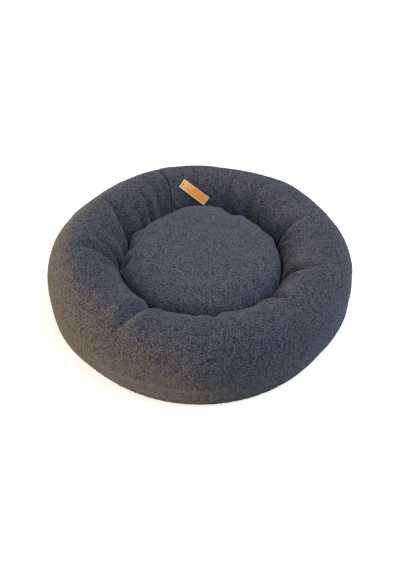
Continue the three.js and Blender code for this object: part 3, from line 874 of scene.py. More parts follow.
@dataclass(frozen=True)
class Fold:
    """One gather of the fleece on the ring's inner side, from the cushion up over the wall.

    Attributes:
        foot: Its angle in plan where it meets the cushion.
        crest: Its angle at the ring's crest.
        depth: How deep its valley is, mm.
        reach: Where it has faded out, as an angle round the section: 90 is the crest, less is beyond it.
        before: How wide the slope is on the side of smaller angles, mm.
        after: The same on the side of greater angles.
        swell_before: How far the fleece stands up beside it on the side of smaller angles, mm.
        swell_after: The same on the side of greater angles.
        lean: How far a side lies over the valley, mm: above 0 that of greater angles, below 0 the other.
    """

    foot: float
    crest: float
    depth: float
    reach: float = 80.0
    before: float = 9.0
    after: float = 9.0
    swell_before: float = 3.0
    swell_after: float = 3.0
    lean: float = 0.0

    def moves(self, degrees: Array, section: Array, radius: Array) -> tuple[Array, Array, Array]:
        """How this fold moves points of the ring.

        Args:
            degrees: The points' angles in plan.
            section: Their angles round the section, 90 at the crest and 180 where the ring is innermost.
            radius: Their distances from the axis, mm.

        Returns:
            How far out of the ring and how far round the axis each point moves, in mm, and how near the
            valley it is, from 0 to 1.
        """
        climb = np.clip((180 - section) / 90, -0.4, 1.6)
        middle = self.foot + turn_between(np.float64(self.crest), self.foot) * climb
        across = turn_between(degrees, middle) * np.pi / 180 * radius
        width = np.where(across > 0, self.after, self.before)
        soft = 1.6
        valley = np.exp(-(np.sqrt(across**2 + soft**2) - soft) / width)
        full = min(self.reach + 62, 150)
        strength = smoothstep(section, self.reach, full) * (1 - 0.75 * smoothstep(section, 200, 262))
        swell = np.where(across > 0, self.swell_after, self.swell_before)
        shoulder = np.exp(-(((np.abs(across) - 2.1 * width) / (1.15 * width)) ** 2))
        out = strength * (swell * shoulder - self.depth * valley)
        side = np.sign(self.lean) * across > 0
        over = side * (1 - valley) * np.exp(-((across / (2.4 * width)) ** 2))
        return out, -self.lean * strength * over, strength * valley


@dataclass
class Ring:
    """The padded ring: its fleece cover, liner and wadding, and the base panel that it is sewn to.

    Attributes:
        outer_radius: Half the ring's width over all, mm.
        tube: How wide the ring's tube is, mm.
        height: How high its crest is, mm.
        widest: The level at which the tube is widest, mm.
        top_power, foot_power: How square the upper and the lower half of the section are.
        hem: The level of both hems, mm.
        seam: The level of the seam and the zip on the outer side, mm.
        seam_band: How high the straight band is that the zip runs in, mm.
        cloth: How thick the fleece's backing is, mm.
        slot_half: Half the height of the zip's opening, mm.
        slot_from, slot_to: The angles at which that opening starts and ends.
        columns, steps: The coarse steps round the axis, and how many fine ones each becomes.
        liner_depth: How deep the liner lies under the fleece's face, mm.
        slit_angle: The angle of the slit that the liner was filled through.
        liner_cloth: How thick the liner is, mm.
        fill: How tightly the ring is stuffed; not used.
        row_heights: How high the coarse rows are below and above the zip, mm.
        front_tuck: How far the foot of the wall is drawn in at the front, mm.
        front_angle: The middle of the front, where that is deepest.
        cross_seam_at: The angle at which the cross seam starts at the hem.
        cross_seam_reach: How far that seam is from the axis, mm.
        foot_points: How finely the outline's lower part is followed.
        tufts, inflation: Its curls, and how it is blown up.
        outer_shares, opening_shares: Its outline and its opening's, as shares at equal steps of angle.
        folds: Its gathers, by their angle.
        made, outline: Its coarse surface and its opening as made, for the pieces in it.
    """

    outer_radius: float = 300.0
    tube: float = 130.0
    height: float = 160.0
    widest: float = 76.0
    top_power: float = 2.2
    foot_power: float = 3.0
    hem: float = 2.8
    seam: float = 30.0
    seam_band: float = 26.0
    cloth: float = 2.6
    slot_half: float = 5.5
    slot_from: float = 40.0
    slot_to: float = 140.0
    columns: int = 315
    steps: int = 4
    liner_depth: float = 9.2
    slit_angle: float = 270.0
    liner_cloth: float = 1.0
    fill: float = 0.8
    row_heights: tuple[float, float] = (5.5, 5.8)
    front_tuck: float = 11.0
    front_angle: float = 276.0
    cross_seam_at: float = 110.5
    cross_seam_reach: float = 190.0
    foot_points: int = 400
    tufts: Tufts = field(default_factory=Tufts)
    inflation: Inflation = field(default_factory=lambda: Inflation(3.0, 0.014, 4.0, 14, 1.0))
    outer_shares: tuple[float, ...] = (
        1.010, 1.010, 1.020, 1.030, 1.025, 1.010, 1.010, 1.025, 1.030, 1.010, 1.000, 1.010,
        1.015, 1.000, 0.994, 0.986, 0.978, 0.976, 0.980, 0.964, 0.964, 0.972, 0.984, 0.996,
    )
    opening_shares: tuple[float, ...] = (
        0.985, 0.990, 0.975, 1.000, 0.975, 1.020, 1.030, 1.020, 0.960, 0.920, 0.920, 0.935,
        0.945, 0.970, 0.960, 0.970, 1.000, 1.010, 1.010, 1.020, 1.030, 1.040, 1.020, 0.990,
    )
    folds: tuple[Fold, ...] = (
        Fold(20, 17, 9, 85, 8, 11, 3, 3, 0),
        Fold(54, 53, 11, 84, 10, 10, 3, 3, 0),
        Fold(72, 70, 10, 84, 10, 10, 3, 0, 0),
        Fold(121, 120, 7, 75, 9, 9, 0, 3, 0),
        Fold(131, 128, 9, 110, 6, 8, 2, 3, 3),
        Fold(140, 138, 5, 85, 10, 10, 2, 2, 0),
        Fold(158, 148, 23, 72, 15, 12, 2, 7, 9),
        Fold(183, 177, 10, 88, 7, 7, 4, 3, -3),
        Fold(192, 185, 15, 62, 9, 10, 4, 5, 5),
        Fold(242, 240, 16, 45, 11, 9, 5, 3, -5),
        Fold(277, 277, 6, 90, 9, 9, 3, 4, 0),
        Fold(311, 314, 15, 80, 9, 9, 5, 4, 0),
        Fold(336, 338, 15, 76, 8, 9, 5, 3, -5),
    )
    made: Array = field(init=False)
    outline: Array = field(init=False)

    @property
    def half(self) -> float:
        """Half the tube's width."""
        return self.tube / 2

    @property
    def middle(self) -> float:
        """The tube's middle, from the axis."""
        return self.outer_radius - self.half

    def width_at(self, height: Array) -> Array:
        """Half the tube's width at heights below its widest level."""
        return half_width(self.half, self.widest, self.foot_power, self.widest - height)

    def zipper(self) -> "Zip":
        """The ring's zip, low on the back of its outer side."""
        low, high = self.seam - self.seam_band / 2, self.seam + self.seam_band / 2
        edges = [(self.middle + float(self.width_at(np.float64(z))), z) for z in (low, high)]
        return Zip(Body.RING, edges[0], edges[1], self.slot_from, self.slot_to)

    def section_line(self) -> tuple[Array, Array]:
        """The section's outline from the outer hem over the crest to the inner hem.

        Returns:
            Its points, each a radius and a height, and each point's angle round the section.
        """
        drop = self.widest - self.hem
        level = self.widest - drop * np.linspace(1, 0, self.foot_points)
        outer_foot = np.stack([self.middle + self.width_at(level), level], axis=1)
        turn = np.linspace(0, math.pi, 900)
        power = 2 / self.top_power
        across = np.sign(np.cos(turn)) * np.abs(np.cos(turn)) ** power
        up = np.abs(np.sin(turn)) ** power
        top = np.stack(
            [self.middle + self.half * across, self.widest + (self.height - self.widest) * up], axis=1
        )
        inner_foot = outer_foot[::-1] * (-1, 1) + (2 * self.middle, 0)
        foot_angle = 90 * (self.widest - level) / drop
        angles = np.concatenate([-foot_angle[:-1], np.degrees(turn), 180 + foot_angle[::-1][1:]])
        return np.concatenate([outer_foot[:-1], top, inner_foot[1:]]), angles

    def rows(self) -> tuple[Array, Array, int]:
        """The section divided into coarse rows, with one at each edge of the zip's opening.

        Returns:
            The rows' points, their angles round the section, and the number of the row at the opening's
            lower edge. Its upper edge is two rows on.
        """
        line, angles = self.section_line()
        length = lengths_along(line)
        foot = self.foot_points
        middle = np.interp(self.seam, line[:foot, 1], length[:foot])
        low, high = middle - self.slot_half, middle + self.slot_half
        first = round(low / self.row_heights[0])
        last = round((length[-1] - high) / self.row_heights[1])
        lower, upper = np.linspace(0, low, first + 1), np.linspace(high, length[-1], last + 1)
        stops = np.concatenate([lower, [middle], upper])
        points = np.stack([np.interp(stops, length, line[:, k]) for k in (0, 1)], axis=1)
        return points, np.interp(stops, length, angles), first

    def shaped(self) -> tuple[Array, Array]:
        """The ring's surface before it is blown up.

        Returns:
            A coarse grid of its points, and how near a valley each point is.
        """
        rows, sections, _ = self.rows()
        tangent = np.gradient(rows, axis=0)
        outward = np.stack([tangent[:, 1], -tangent[:, 0]], axis=1)
        outward /= np.linalg.norm(outward, axis=1, keepdims=True)
        degrees = np.arange(self.columns) * 360 / self.columns
        angle, section = np.meshgrid(degrees, sections)
        radius = np.repeat(rows[:, :1], self.columns, axis=1)
        height = np.repeat(rows[:, 1:], self.columns, axis=1)
        opening = self.middle - self.half
        loose = smoothstep(height, self.seam + self.seam_band / 2 + 7.7, self.widest)
        across = np.clip((radius - opening) / self.tube, 0, 1)
        inner = opening * (around_table(self.opening_shares, angle) - 1)
        outer = self.outer_radius * (around_table(self.outer_shares, angle) - 1)
        radius = radius + (inner * (1 - across) + outer * across) * loose
        front = 1 - smoothstep(np.abs(turn_between(angle, self.front_angle)), 34, 68)
        low_front = smoothstep(height, self.hem, 26) * (1 - smoothstep(height, 52, self.widest))
        radius = radius - self.front_tuck * front * low_front * (section < 0)
        out = np.zeros_like(radius)
        around = np.zeros_like(radius)
        near = np.zeros_like(radius)
        for fold in self.folds:
            moved, turned, close = fold.moves(angle, section, radius)
            out += moved
            around += turned
            near = np.maximum(near, close)
        low = smoothstep(height, 12, 60)
        out, around = out * low, around * low
        turn = np.radians(angle) + around / radius
        grid = round_axis(radius + out * outward[:, :1], turn, height + out * outward[:, 1:])
        height = grid[..., 2].copy()
        plump = smoothstep(height, 40, 80)
        lumps = 1.8 * smooth_noise(grid, 62, 3) + 0.9 * smooth_noise(grid, 27, 4)
        inside = smoothstep(section, 95, 170)
        puckers = 1.1 * inside * smooth_noise(grid * (1, 1, 0.35), 15, 5)
        grid += grid_normals(grid) * (plump * (lumps + puckers))[..., None]
        return grid, near * low

    def inflated(self, grid: Array, near: Array) -> Array:
        """The coarse surface after its wadding has pushed it out between the folds."""
        faces = grid_faces(numbered(*grid.shape[:2]), True, True).reshape(-1, 4)
        sewn = 1 - smoothstep(grid[..., 2], 44, 66)
        _, sections, _ = self.rows()
        plain = (1 - smoothstep(sections, 55, 105))[:, None] + 0 * near
        held = np.clip(np.maximum(np.maximum(sewn, plain), smoothstep(near, 0.35, 0.8)), 0, 1)
        after = self.inflation.run(grid.reshape(-1, 3), faces, held.ravel())
        return after.reshape(grid.shape)

    def pressed_by_label(self, grid: Array, label: "Label") -> Array:
        """The fleece flattened where the label lies on it, and drawn up to it where it is sewn."""
        place = label.place()
        local = (grid - place[:3, 3]) @ place[:3, :3]
        outside = np.maximum(
            np.abs(local[..., 0] - label.length / 2) - label.length / 2,
            np.abs(local[..., 1]) - label.width / 2,
        )
        near = 1 - smoothstep(outside, 0.5, 7.0)
        near = near * (np.abs(local[..., 2]) < 25)
        under = label.sag(local[..., 0], local[..., 1]) - 0.35
        pressed = np.minimum(under - local[..., 2], 0) * near
        sewn = (1 - smoothstep(local[..., 0], 8, 24)) * (1 - smoothstep(outside, -3, 6))
        raised = np.clip(under - local[..., 2], 0, 3.5) * sewn * (np.abs(local[..., 2]) < 25)
        return grid + (pressed + raised)[..., None] * place[:3, 2]

    def make_cover(self, label: "Label", finish: Material) -> Piece:
        """The ring's fleece cover, with its folds, curls, the zip's opening and painted shade on its inner
        wall.
        """
        grid, near = self.shaped()
        grid = self.inflated(grid, near)
        self.made = grid
        fine = finer(grid, self.steps, True)
        count_rows, count = fine.shape[:2]
        degrees = np.arange(count) * 360 / count
        _, sections, first = self.rows()
        section = np.interp(np.arange(count_rows) / self.steps, np.arange(len(sections)), sections)
        low, high = first * self.steps, (first + 2) * self.steps
        start = round(self.slot_from / 360 * count)
        stop = round(self.slot_to / 360 * count)
        fine = self.seamed(fine, section, degrees)
        normals = grid_normals(fine)
        tuft, tone = self.tufts.at(fine)
        row = np.arange(count_rows)[:, None]
        column = np.arange(count)[None, :]
        past_rows = np.maximum(np.maximum(low - row, row - high), 0)
        past_columns = np.maximum(np.maximum(start - column, column - stop), 0)
        from_slot = np.hypot(past_rows * 1.4, past_columns * 1.5)
        by_hem = smoothstep(np.minimum(row, count_rows - 1 - row) * 1.5, 0, 9)
        stand = smoothstep(from_slot, 0, 5) * by_hem
        rise = self.tufts.height * (tuft - 0.45) * stand
        rise = rise - 1.7 * (1 - smoothstep(from_slot, 0, 4.5))
        outer = fine + normals * rise[..., None]
        outer = self.pressed_by_label(outer, label)
        self.outline = self.inner_outline(outer, section)
        inner_rows = np.unique(
            np.concatenate([np.arange(0, count_rows, 8), np.arange(low, high + 1), [count_rows - 1]])
        )
        inner = (fine - normals * self.cloth)[inner_rows]
        points = np.concatenate([outer.reshape(-1, 3), inner.reshape(-1, 3)])
        numbers = numbered(count_rows, count)
        back = numbers.size + np.arange(len(inner_rows) * count).reshape(-1, count)
        lower = np.searchsorted(inner_rows, low)
        upper = np.searchsorted(inner_rows, high)
        front_faces = grid_faces(numbers, False, True)
        back_faces = grid_faces(back, False, True)[..., ::-1]
        keep_front = np.ones(front_faces.shape[:2], bool)
        keep_front[low:high, start:stop] = False
        keep_back = np.ones(back_faces.shape[:2], bool)
        keep_back[lower:upper, start:stop] = False
        span = slice(start, stop + 1)
        front_side, back_side = slice(low, high + 1), slice(lower, upper + 1)
        rims = [
            (back[0], numbers[0], True),
            (numbers[-1], back[-1], True),
            (numbers[low, span], back[lower, span], False),
            (back[upper, span], numbers[high, span], False),
            (numbers[front_side, stop], back[back_side, stop], False),
            (back[back_side, start], numbers[front_side, start], False),
        ]
        walls = [grid_faces(np.stack(pair), False, joined)[0] for *pair, joined in rims]
        faces = np.concatenate([front_faces[keep_front], back_faces[keep_back], *walls])
        # Painted shade: the tuft values are lowered on the ring's inner wall, where it is shaded inside the
        # opening.
        inner_wall_painted_shade = 1 - 0.3 * smoothstep(section, 105, 150) * (1 - smoothstep(section, 215, 260))
        _, from_seam, seam_shown = self.cross_seam(section, degrees)
        pinched = 0.95 * seam_shown * np.exp(-((from_seam / 3.4) ** 2))
        shown = tuft * (0.4 + 0.6 * stand) * inner_wall_painted_shade[:, None] - pinched
        piece = build_mesh("bed_ring_cover", points, faces, fleece_values(shown, tone, len(points)))
        dress(piece, finish)
        return seat(piece, Body.RING, "ring_cover")

    def inset(self, depth: float) -> Array:
        """The ring's coarse surface, smoothed a little round the axis and moved in by a depth, mm."""
        kernel = np.exp(-((np.arange(-6, 7) / 2.5) ** 2))
        smooth = sum(
            weight * np.roll(self.made, shift, axis=1)
            for shift, weight in zip(range(-6, 7), kernel / kernel.sum())
        )
        return smooth - grid_normals(smooth, True) * depth

    def make_liner(self, finish: Material) -> Piece:
        """The non-woven bag in the cover, with the slit through which it was filled."""
        outer, inner = (self.inset(self.liner_depth + more) for more in (0.0, self.liner_cloth))
        rows, columns = outer.shape[:2]
        faces = grid_faces(numbered(rows, columns), True, True)
        kept = np.ones(faces.shape[:2], bool)
        _, _, first = self.rows()
        middle = round(self.slit_angle / 360 * columns)
        kept[first + 1, middle - 8 : middle + 8] = False
        points, shell = closed_shell(outer, inner, faces[kept])
        piece = build_mesh("bed_ring_liner", points, shell)
        dress(piece, finish)
        return seat(piece, Body.RING, "ring_liner")

    def make_wadding(self, finish: Material) -> Piece:
        """The fibre wadding in the ring's liner."""
        core = self.inset(self.liner_depth + 1.6)
        core = core + grid_normals(core, True) * (0.8 * smooth_noise(core, 18, 61) - 0.8)[..., None]
        piece = build_mesh("bed_ring_wadding", core, grid_faces(numbered(*core.shape[:2]), True, True))
        dress(piece, finish)
        return seat(piece, Body.RING, "ring_filling")

    def seamed(self, fine: Array, section: Array, degrees: Array) -> Array:
        """The fine surface with the low seam line all round and the cross seam at the back."""
        around, across, shown = self.cross_seam(section, degrees)
        groove = 1.5 * np.exp(-(((fine[..., 2] - self.seam) / 1.8) ** 2)) * (around < 0)
        ridge = 5.0 * np.exp(-(((across - 5.6) / 3.6) ** 2))
        ridge = ridge + 1.2 * np.exp(-(((across + 6.0) / 3.0) ** 2))
        ditch = 5.0 * np.exp(-((across / 2.0) ** 2))
        rise = shown * (0.1 + 0.9 * smoothstep(around, 70, 125)) * (ridge - ditch) - groove
        return fine + grid_normals(fine) * rise[..., None]

    def cross_seam(self, section: Array, degrees: Array) -> tuple[Array, Array, Array]:
        """Where the seam runs that closes the cover's strip into a ring.

        Args:
            section: The angles of the surface's rows round the section.
            degrees: The angles of its columns in plan.

        Returns:
            For each point its angle round the section, its distance from the seam in mm, and how strongly
            the seam shows there.
        """
        around, turned = np.meshgrid(section, degrees, indexing="ij")
        lean = 2.5 * smoothstep(around, 60, 180) + 2.2 * smoothstep(around, 150, 200)
        lean = lean - 1.9 * np.exp(-(((around - 128) / 30) ** 2))
        across = np.radians(turn_between(turned, self.cross_seam_at + lean)) * self.cross_seam_reach
        shown = smoothstep(around, -60, -20) * (1 - smoothstep(around, 190, 240))
        return around, across, shown

    def inner_outline(self, surface: Array, section: Array) -> Array:
        """How far the opening is from the axis at each whole degree, at its narrowest."""
        inside = surface[(section > 120) & (section < 225)]
        radius = np.hypot(inside[..., 0], inside[..., 1]).ravel()
        degrees = np.degrees(np.arctan2(inside[..., 1], inside[..., 0])).ravel() % 360
        nearest = np.full(360, 1e9)
        np.minimum.at(nearest, degrees.astype(int) % 360, radius)
        return nearest


# The cushion


@dataclass(frozen=True)
class Dent:
    """A soft dent in the cushion's top.

    Attributes:
        angle: Its place round the axis.
        reach: Its place from the axis, mm.
        depth: How deep it is, mm.
        wide: How far it spreads round the axis, mm.
        deep: How far it spreads from the axis, mm.
        dark: How much painted shade darkens its curls, from 0 to 1.
    """

    angle: float
    reach: float
    depth: float
    wide: float
    deep: float
    dark: float = 0.0

    def near(self, grid: Array) -> Array:
        """How near points of the cushion's top are to its middle, from 0 to 1."""
        turn = np.degrees(np.arctan2(grid[..., 1], grid[..., 0]))
        round_way = turn_between(turn, self.angle) * np.pi / 180 * self.reach / self.wide
        out_way = (np.hypot(grid[..., 0], grid[..., 1]) - self.reach) / self.deep
        return np.exp(-(round_way**2) - out_way**2) * smoothstep(grid[..., 2], 84, 112)


@dataclass
class Cushion:
    """The loose round cushion: a fleece upper cover and a woven lower one, which meet at a zipped seam.

    Attributes:
        crown: How high its middle is, mm.
        widest: The level at which it is widest, mm.
        seam: The level of the seam between its covers, mm.
        seam_radius: How wide its lower part is, from the axis, mm.
        top_power, foot_power: How flat its upper and its lower half are.
        foot: The level of its underside, mm.
        heel, heel_inset: How high its rounded lower edge reaches, and how far in, mm.
        seam_band: How high the straight band is that the zip runs in, mm.
        radius: How wide it is before it is fitted to the ring's opening, from the axis, mm.
        clearance: The gap between its curls and the ring's, mm.
        slot_half: Half the height of the zip's opening, mm.
        slot_from, slot_to: The angles at which that opening starts and ends.
        cloth, lower_cloth: How thick the fleece's backing and the woven lower cover are, mm.
        liner_depth, liner_cloth: How deep the liner lies under the covers' faces, and how thick it is, mm.
        fill: How tightly the cushion is stuffed; not used.
        rim_reach: The run over the fleece from its middle to the seam, mm.
        cells, steps: The coarse steps across, and how many fine ones each becomes.
        tufts, inflation, dents: Its curls, how it is blown up, and the dents in its upper cover.
        made: Its coarse upper surface as made, for the pieces in it.
    """

    crown: float = 142.0
    widest: float = 75.0
    seam: float = 45.0
    seam_radius: float = 158.0
    seam_band: float = 26.0
    radius: float = 169.2
    top_power: float = 3.6
    foot_power: float = 3.0
    foot: float = 2.8
    heel: float = 14.0
    heel_inset: float = 24.0
    clearance: float = 1.2
    slot_half: float = 5.5
    slot_from: float = 216.0
    slot_to: float = 324.0
    cloth: float = 2.6
    lower_cloth: float = 1.6
    liner_depth: float = 9.2
    liner_cloth: float = 1.0
    fill: float = 0.9
    rim_reach: float = 235.0
    cells: int = 96
    steps: int = 4
    tufts: Tufts = field(default_factory=lambda: Tufts(4.1, 1.2, 23))
    inflation: Inflation = field(default_factory=lambda: Inflation(3.0, 0.004, 1.6, 14, 2.5))
    # A dent's sixth number is the painted shade in it; only the first three have any.
    dents: tuple[Dent, ...] = (
        Dent(172, 146, 13.0, 8, 16, 0.9),
        Dent(190.5, 150, 13.0, 7.5, 15, 0.9),
        Dent(182, 154, 3.0, 30, 10, 0.6),
        Dent(208, 152, 3.0, 12, 9),
        Dent(300, 150, 2.5, 18, 8),
        Dent(60, 150, 3.5, 7, 9),
        Dent(41, 156, 3.0, 7, 9),
        Dent(24, 160, 3.5, 8, 9),
        Dent(262, 152, -6.0, 60, 13),
    )
    made: Array = field(init=False)

    def dented(self, grid: Array) -> Array:
        """The upper cover's surface with its soft dents pressed in."""
        after = grid.copy()
        for dent in self.dents:
            after[..., 2] -= dent.depth * dent.near(grid)
        return after

    def painted_shade(self, fine: Array) -> Array:
        """Painted shade on the curls, from 0 to 1: in the deep dents and down the side into the crevice by
        the ring.
        """
        # Painted shade down the side, below the crown's edge, where the crevice by the ring is shaded.
        light = 1 - 0.7 * (1 - smoothstep(fine[..., 2], 96, 122))
        for dent in self.dents:
            light = light * (1 - dent.dark * dent.near(fine))
        return 1 - light

    def disc(self) -> tuple[Array, Array]:
        """A square grid laid evenly over a round disc.

        Returns:
            Each point's distance from the middle, as a share of the rim's, and its angle in degrees.
        """
        side = np.linspace(-1, 1, self.cells + 1)
        x, y = np.meshgrid(side, side)
        wide = np.abs(x) > np.abs(y)
        share = np.where(wide, np.abs(x), np.abs(y))
        with np.errstate(divide="ignore", invalid="ignore"):
            flat = np.where(wide, 45 * y / x, 90 - 45 * x / y)
        flat = np.nan_to_num(flat)
        degrees = np.where(wide, flat + np.where(x < 0, 180, 0), flat + np.where(y < 0, 180, 0))
        return share, degrees

    def zip_lift(self, degrees: Array) -> Array:
        """How far the rim stands back from the seam, mm: half the opening's height along the zip."""
        middle = (self.slot_from + self.slot_to) / 2
        half = (self.slot_to - self.slot_from) / 2
        away = np.abs(turn_between(degrees, middle)) - half
        return 0.15 + (self.slot_half - 0.15) * (1 - smoothstep(away, 0, 1.4))

    def zipper(self) -> "Zip":
        """The cushion's zip, in the seam at its front."""
        low, high = self.seam - self.seam_band / 2, self.seam + self.seam_band / 2
        rise = self.widest - self.foot
        edges = [
            (float(half_width(self.seam_radius, rise, self.foot_power, np.float64(self.widest - z))), z)
            for z in (low, high)
        ]
        return Zip(Body.CUSHION, edges[0], edges[1], self.slot_from, self.slot_to)

    def side_line(self) -> Array:
        """The upper half's outline from the crown's middle to the seam, as radius shares and heights."""
        turn = np.linspace(math.pi / 2, 0, 700)
        power = 2 / self.top_power
        share = np.abs(np.cos(turn)) ** power
        level = self.widest + (self.crown - self.widest) * np.abs(np.sin(turn)) ** power
        low = np.linspace(self.widest, self.seam, 200)[1:]
        rise = self.widest - self.foot
        pull = half_width(self.seam_radius, rise, self.foot_power, self.widest - low)
        start = smoothstep(low, 65.7, self.widest)
        tucked = pull / self.radius
        blend = tucked + (1.0 - tucked) * start
        return np.concatenate([np.stack([share, level], 1), np.stack([blend, low], 1)])

    def shaped(self, outline: Array) -> tuple[Array, Array]:
        """The upper cover's surface before it is blown up.

        Args:
            outline: How far the ring's opening is from the axis at each whole degree.

        Returns:
            A coarse grid of its points, and each point's share of the way to the rim.
        """
        share, degrees = self.disc()
        line = self.side_line()
        length = lengths_along(line * (self.radius, 1))
        at = share * (length[-1] - self.zip_lift(degrees))
        radius_share = np.interp(at, length, line[:, 0])
        height = np.interp(at, length, line[:, 1])
        open_at = np.array([outline[(np.arange(-2, 3) + k) % 360].min() for k in range(360)])
        kernel = np.exp(-((np.arange(-4, 5) / 2.0) ** 2))
        open_at = np.convolve(np.tile(open_at, 3), kernel / kernel.sum(), "same")[360:720]
        rim = np.interp(degrees % 360, np.arange(361), np.append(open_at, open_at[0]))
        rim = rim - self.clearance - self.tufts.height
        upper = smoothstep(height, 60, self.widest)
        reach = radius_share * (self.radius + (rim - self.radius) * upper)
        grid = round_axis(reach, np.radians(degrees), height)
        lumps = 1.6 * smooth_noise(grid, 70, 31) + 0.7 * smooth_noise(grid, 30, 32)
        grid[..., 2] += lumps * smoothstep(height, 80, 130)
        return grid, share

    def inflated(self, grid: Array, share: Array) -> Array:
        """The coarse surface after its wadding has pushed it out."""
        size = grid.shape[0]
        count = size * size
        numbers = numbered(size, size)
        low = grid.copy()
        low[..., 2] = self.seam - 12 * (1 - share**2)
        twin = numbers.copy()
        inner = share < 0.999
        twin[inner] = count + np.arange(inner.sum())
        points = np.concatenate([grid.reshape(-1, 3), low[inner]])
        faces = np.concatenate(
            [
                grid_faces(numbers).reshape(-1, 4),
                grid_faces(twin)[..., ::-1].reshape(-1, 4),
            ]
        )
        held = np.concatenate([(1 - smoothstep(grid[..., 2], 60, 84)).ravel(), np.ones(inner.sum())])
        after = self.inflation.run(points, faces, held)
        return after[:count].reshape(grid.shape)

    def make_top(self, ring: Ring, finish: Material) -> Piece:
        """The cushion's fleece upper cover."""
        grid, share = self.shaped(ring.outline)
        before = np.hypot(grid[..., 0], grid[..., 1])
        grid = self.inflated(grid, share)
        reach = np.hypot(grid[..., 0], grid[..., 1])
        kept = np.minimum(1, (before + 0.4) / np.maximum(reach, 1e-6))
        side = 1 - smoothstep(grid[..., 2], 110, 130)
        factor = 1 + (kept - 1) * side
        grid = self.dented(grid * np.stack([factor, factor, np.ones_like(factor)], axis=-1))
        self.made = grid
        fine = finer(grid, self.steps)
        rim_share = finer(share, self.steps)
        normals = top_normals(fine)
        tuft, tone = self.tufts.at(fine)
        from_rim = (1 - rim_share) * self.rim_reach
        stand = smoothstep(from_rim, 0, 6)
        rise = self.tufts.height * (tuft - 0.45) * stand - 1.6 * (1 - smoothstep(from_rim, 0, 5))
        outer = fine + normals * rise[..., None]
        inner = fine - normals * self.cloth
        size = fine.shape[0]
        numbers = numbered(size, size)
        coarse = np.unique(np.append(np.arange(0, size, 4), size - 1))
        back = numbers.size + np.arange(len(coarse) ** 2).reshape(len(coarse), -1)
        points = np.concatenate([outer.reshape(-1, 3), inner[np.ix_(coarse, coarse)].reshape(-1, 3)])
        faces = [
            grid_faces(numbers).reshape(-1, 4),
            grid_faces(back)[..., ::-1].reshape(-1, 4),
            self.rim_faces(numbers, back),
        ]
        # The tuft values carry the painted shade of the dents and of the side.
        values = fleece_values(tuft - self.painted_shade(fine), tone, len(points))
        piece = build_mesh("bed_cushion_top", points, np.concatenate(faces), values)
        dress(piece, finish)
        return seat(piece, Body.CUSHION, "cushion_cover_top")

    def under_line(self) -> Array:
        """The lower half's outline from the middle of the underside to the seam, as radii and heights."""
        level = self.heel + (self.seam - self.heel) * np.linspace(0, 1, 200)
        rise = self.widest - self.foot
        wide = half_width(self.seam_radius, rise, self.foot_power, self.widest - level)
        turn = np.linspace(0, math.pi / 2, 80)
        reach = wide[0] - self.heel_inset + self.heel_inset * np.sin(turn)
        lift = self.heel - (self.heel - self.foot) * np.cos(turn)
        round_heel = np.stack([reach, lift], axis=1)
        middle = np.array([[0.0, self.foot]])
        return np.concatenate([middle, round_heel, np.stack([wide, level], axis=1)[1:]])

    def under(self) -> Array:
        """The lower cover's surface, as a fine grid of points."""
        share, degrees = self.disc()
        line = self.under_line()
        length = lengths_along(line)
        at = share * (length[-1] - self.zip_lift(degrees))
        reach, height = (np.interp(at, length, line[:, k]) for k in (0, 1))
        grid = round_axis(reach, np.radians(degrees), height)
        inside = smoothstep(height, self.foot, self.heel) * (1 - smoothstep(share, 0.9, 0.99))
        soft = 1.3 * smooth_noise(grid, 45, 41) - 0.8
        flat_lift = 1.2 * smoothstep(smooth_noise(grid, 60, 42), 0.0, 0.8) * (1 - inside)
        grid = grid - top_normals(grid) * (inside * soft)[..., None]
        grid[..., 2] += flat_lift * (1 - smoothstep(share, 0.75, 0.9))
        return finer(grid, 2)

    def make_bottom(self, finish: Material) -> Piece:
        """The cushion's woven lower cover."""
        outer = self.under()
        size = outer.shape[0]
        inner = outer + top_normals(outer) * self.lower_cloth
        faces = grid_faces(numbered(size, size))[..., ::-1]
        points, shell = closed_shell(outer, inner, faces)
        piece = build_mesh("bed_cushion_bottom", points, shell)
        dress(piece, finish)
        return seat(piece, Body.CUSHION, "cushion_cover_bottom")

    def bag(self, depth: float) -> tuple[Array, Array]:
        """A closed surface in the covers.

        Args:
            depth: How deep it lies under their faces, mm.

        Returns:
            Its points and its faces.
        """
        top, under = self.made, self.under()[::2, ::2]
        surfaces = []
        for grid, sign in ((top, 1), (under, -1)):
            surfaces.append(grid - sign * top_normals(grid) * depth)
        size = self.cells + 1
        rim = np.zeros((size, size), bool)
        rim[[0, -1]] = rim[:, [0, -1]] = True
        joined = (surfaces[0][rim] + surfaces[1][rim]) / 2
        surfaces[0][rim] = joined
        numbers = numbered(size, size)
        twin = numbers.copy()
        twin[~rim] = numbers.size + np.arange((~rim).sum())
        points = np.concatenate([surfaces[0].reshape(-1, 3), surfaces[1][~rim]])
        faces = [grid_faces(numbers), grid_faces(twin)[..., ::-1]]
        return points, np.stack(faces)

    def make_liner(self, finish: Material) -> Piece:
        """The non-woven bag in the cushion's covers, with its filling slit."""
        outer, faces = self.bag(self.liner_depth)
        inner, _ = self.bag(self.liner_depth + self.liner_cloth)
        kept = np.ones(faces.shape[:3], bool)
        middle = self.cells // 2
        kept[0, -3, middle - 12 : middle + 12] = False
        points, shell = closed_shell(outer, inner, faces[kept])
        piece = build_mesh("bed_cushion_liner", points, shell)
        dress(piece, finish)
        return seat(piece, Body.CUSHION, "cushion_liner")

    def make_wadding(self, finish: Material) -> Piece:
        """The fibre wadding in the cushion's liner."""
        points, faces = self.bag(self.liner_depth + 2.0)
        piece = build_mesh("bed_cushion_wadding", points, faces)
        dress(piece, finish)
        return seat(piece, Body.CUSHION, "cushion_filling")

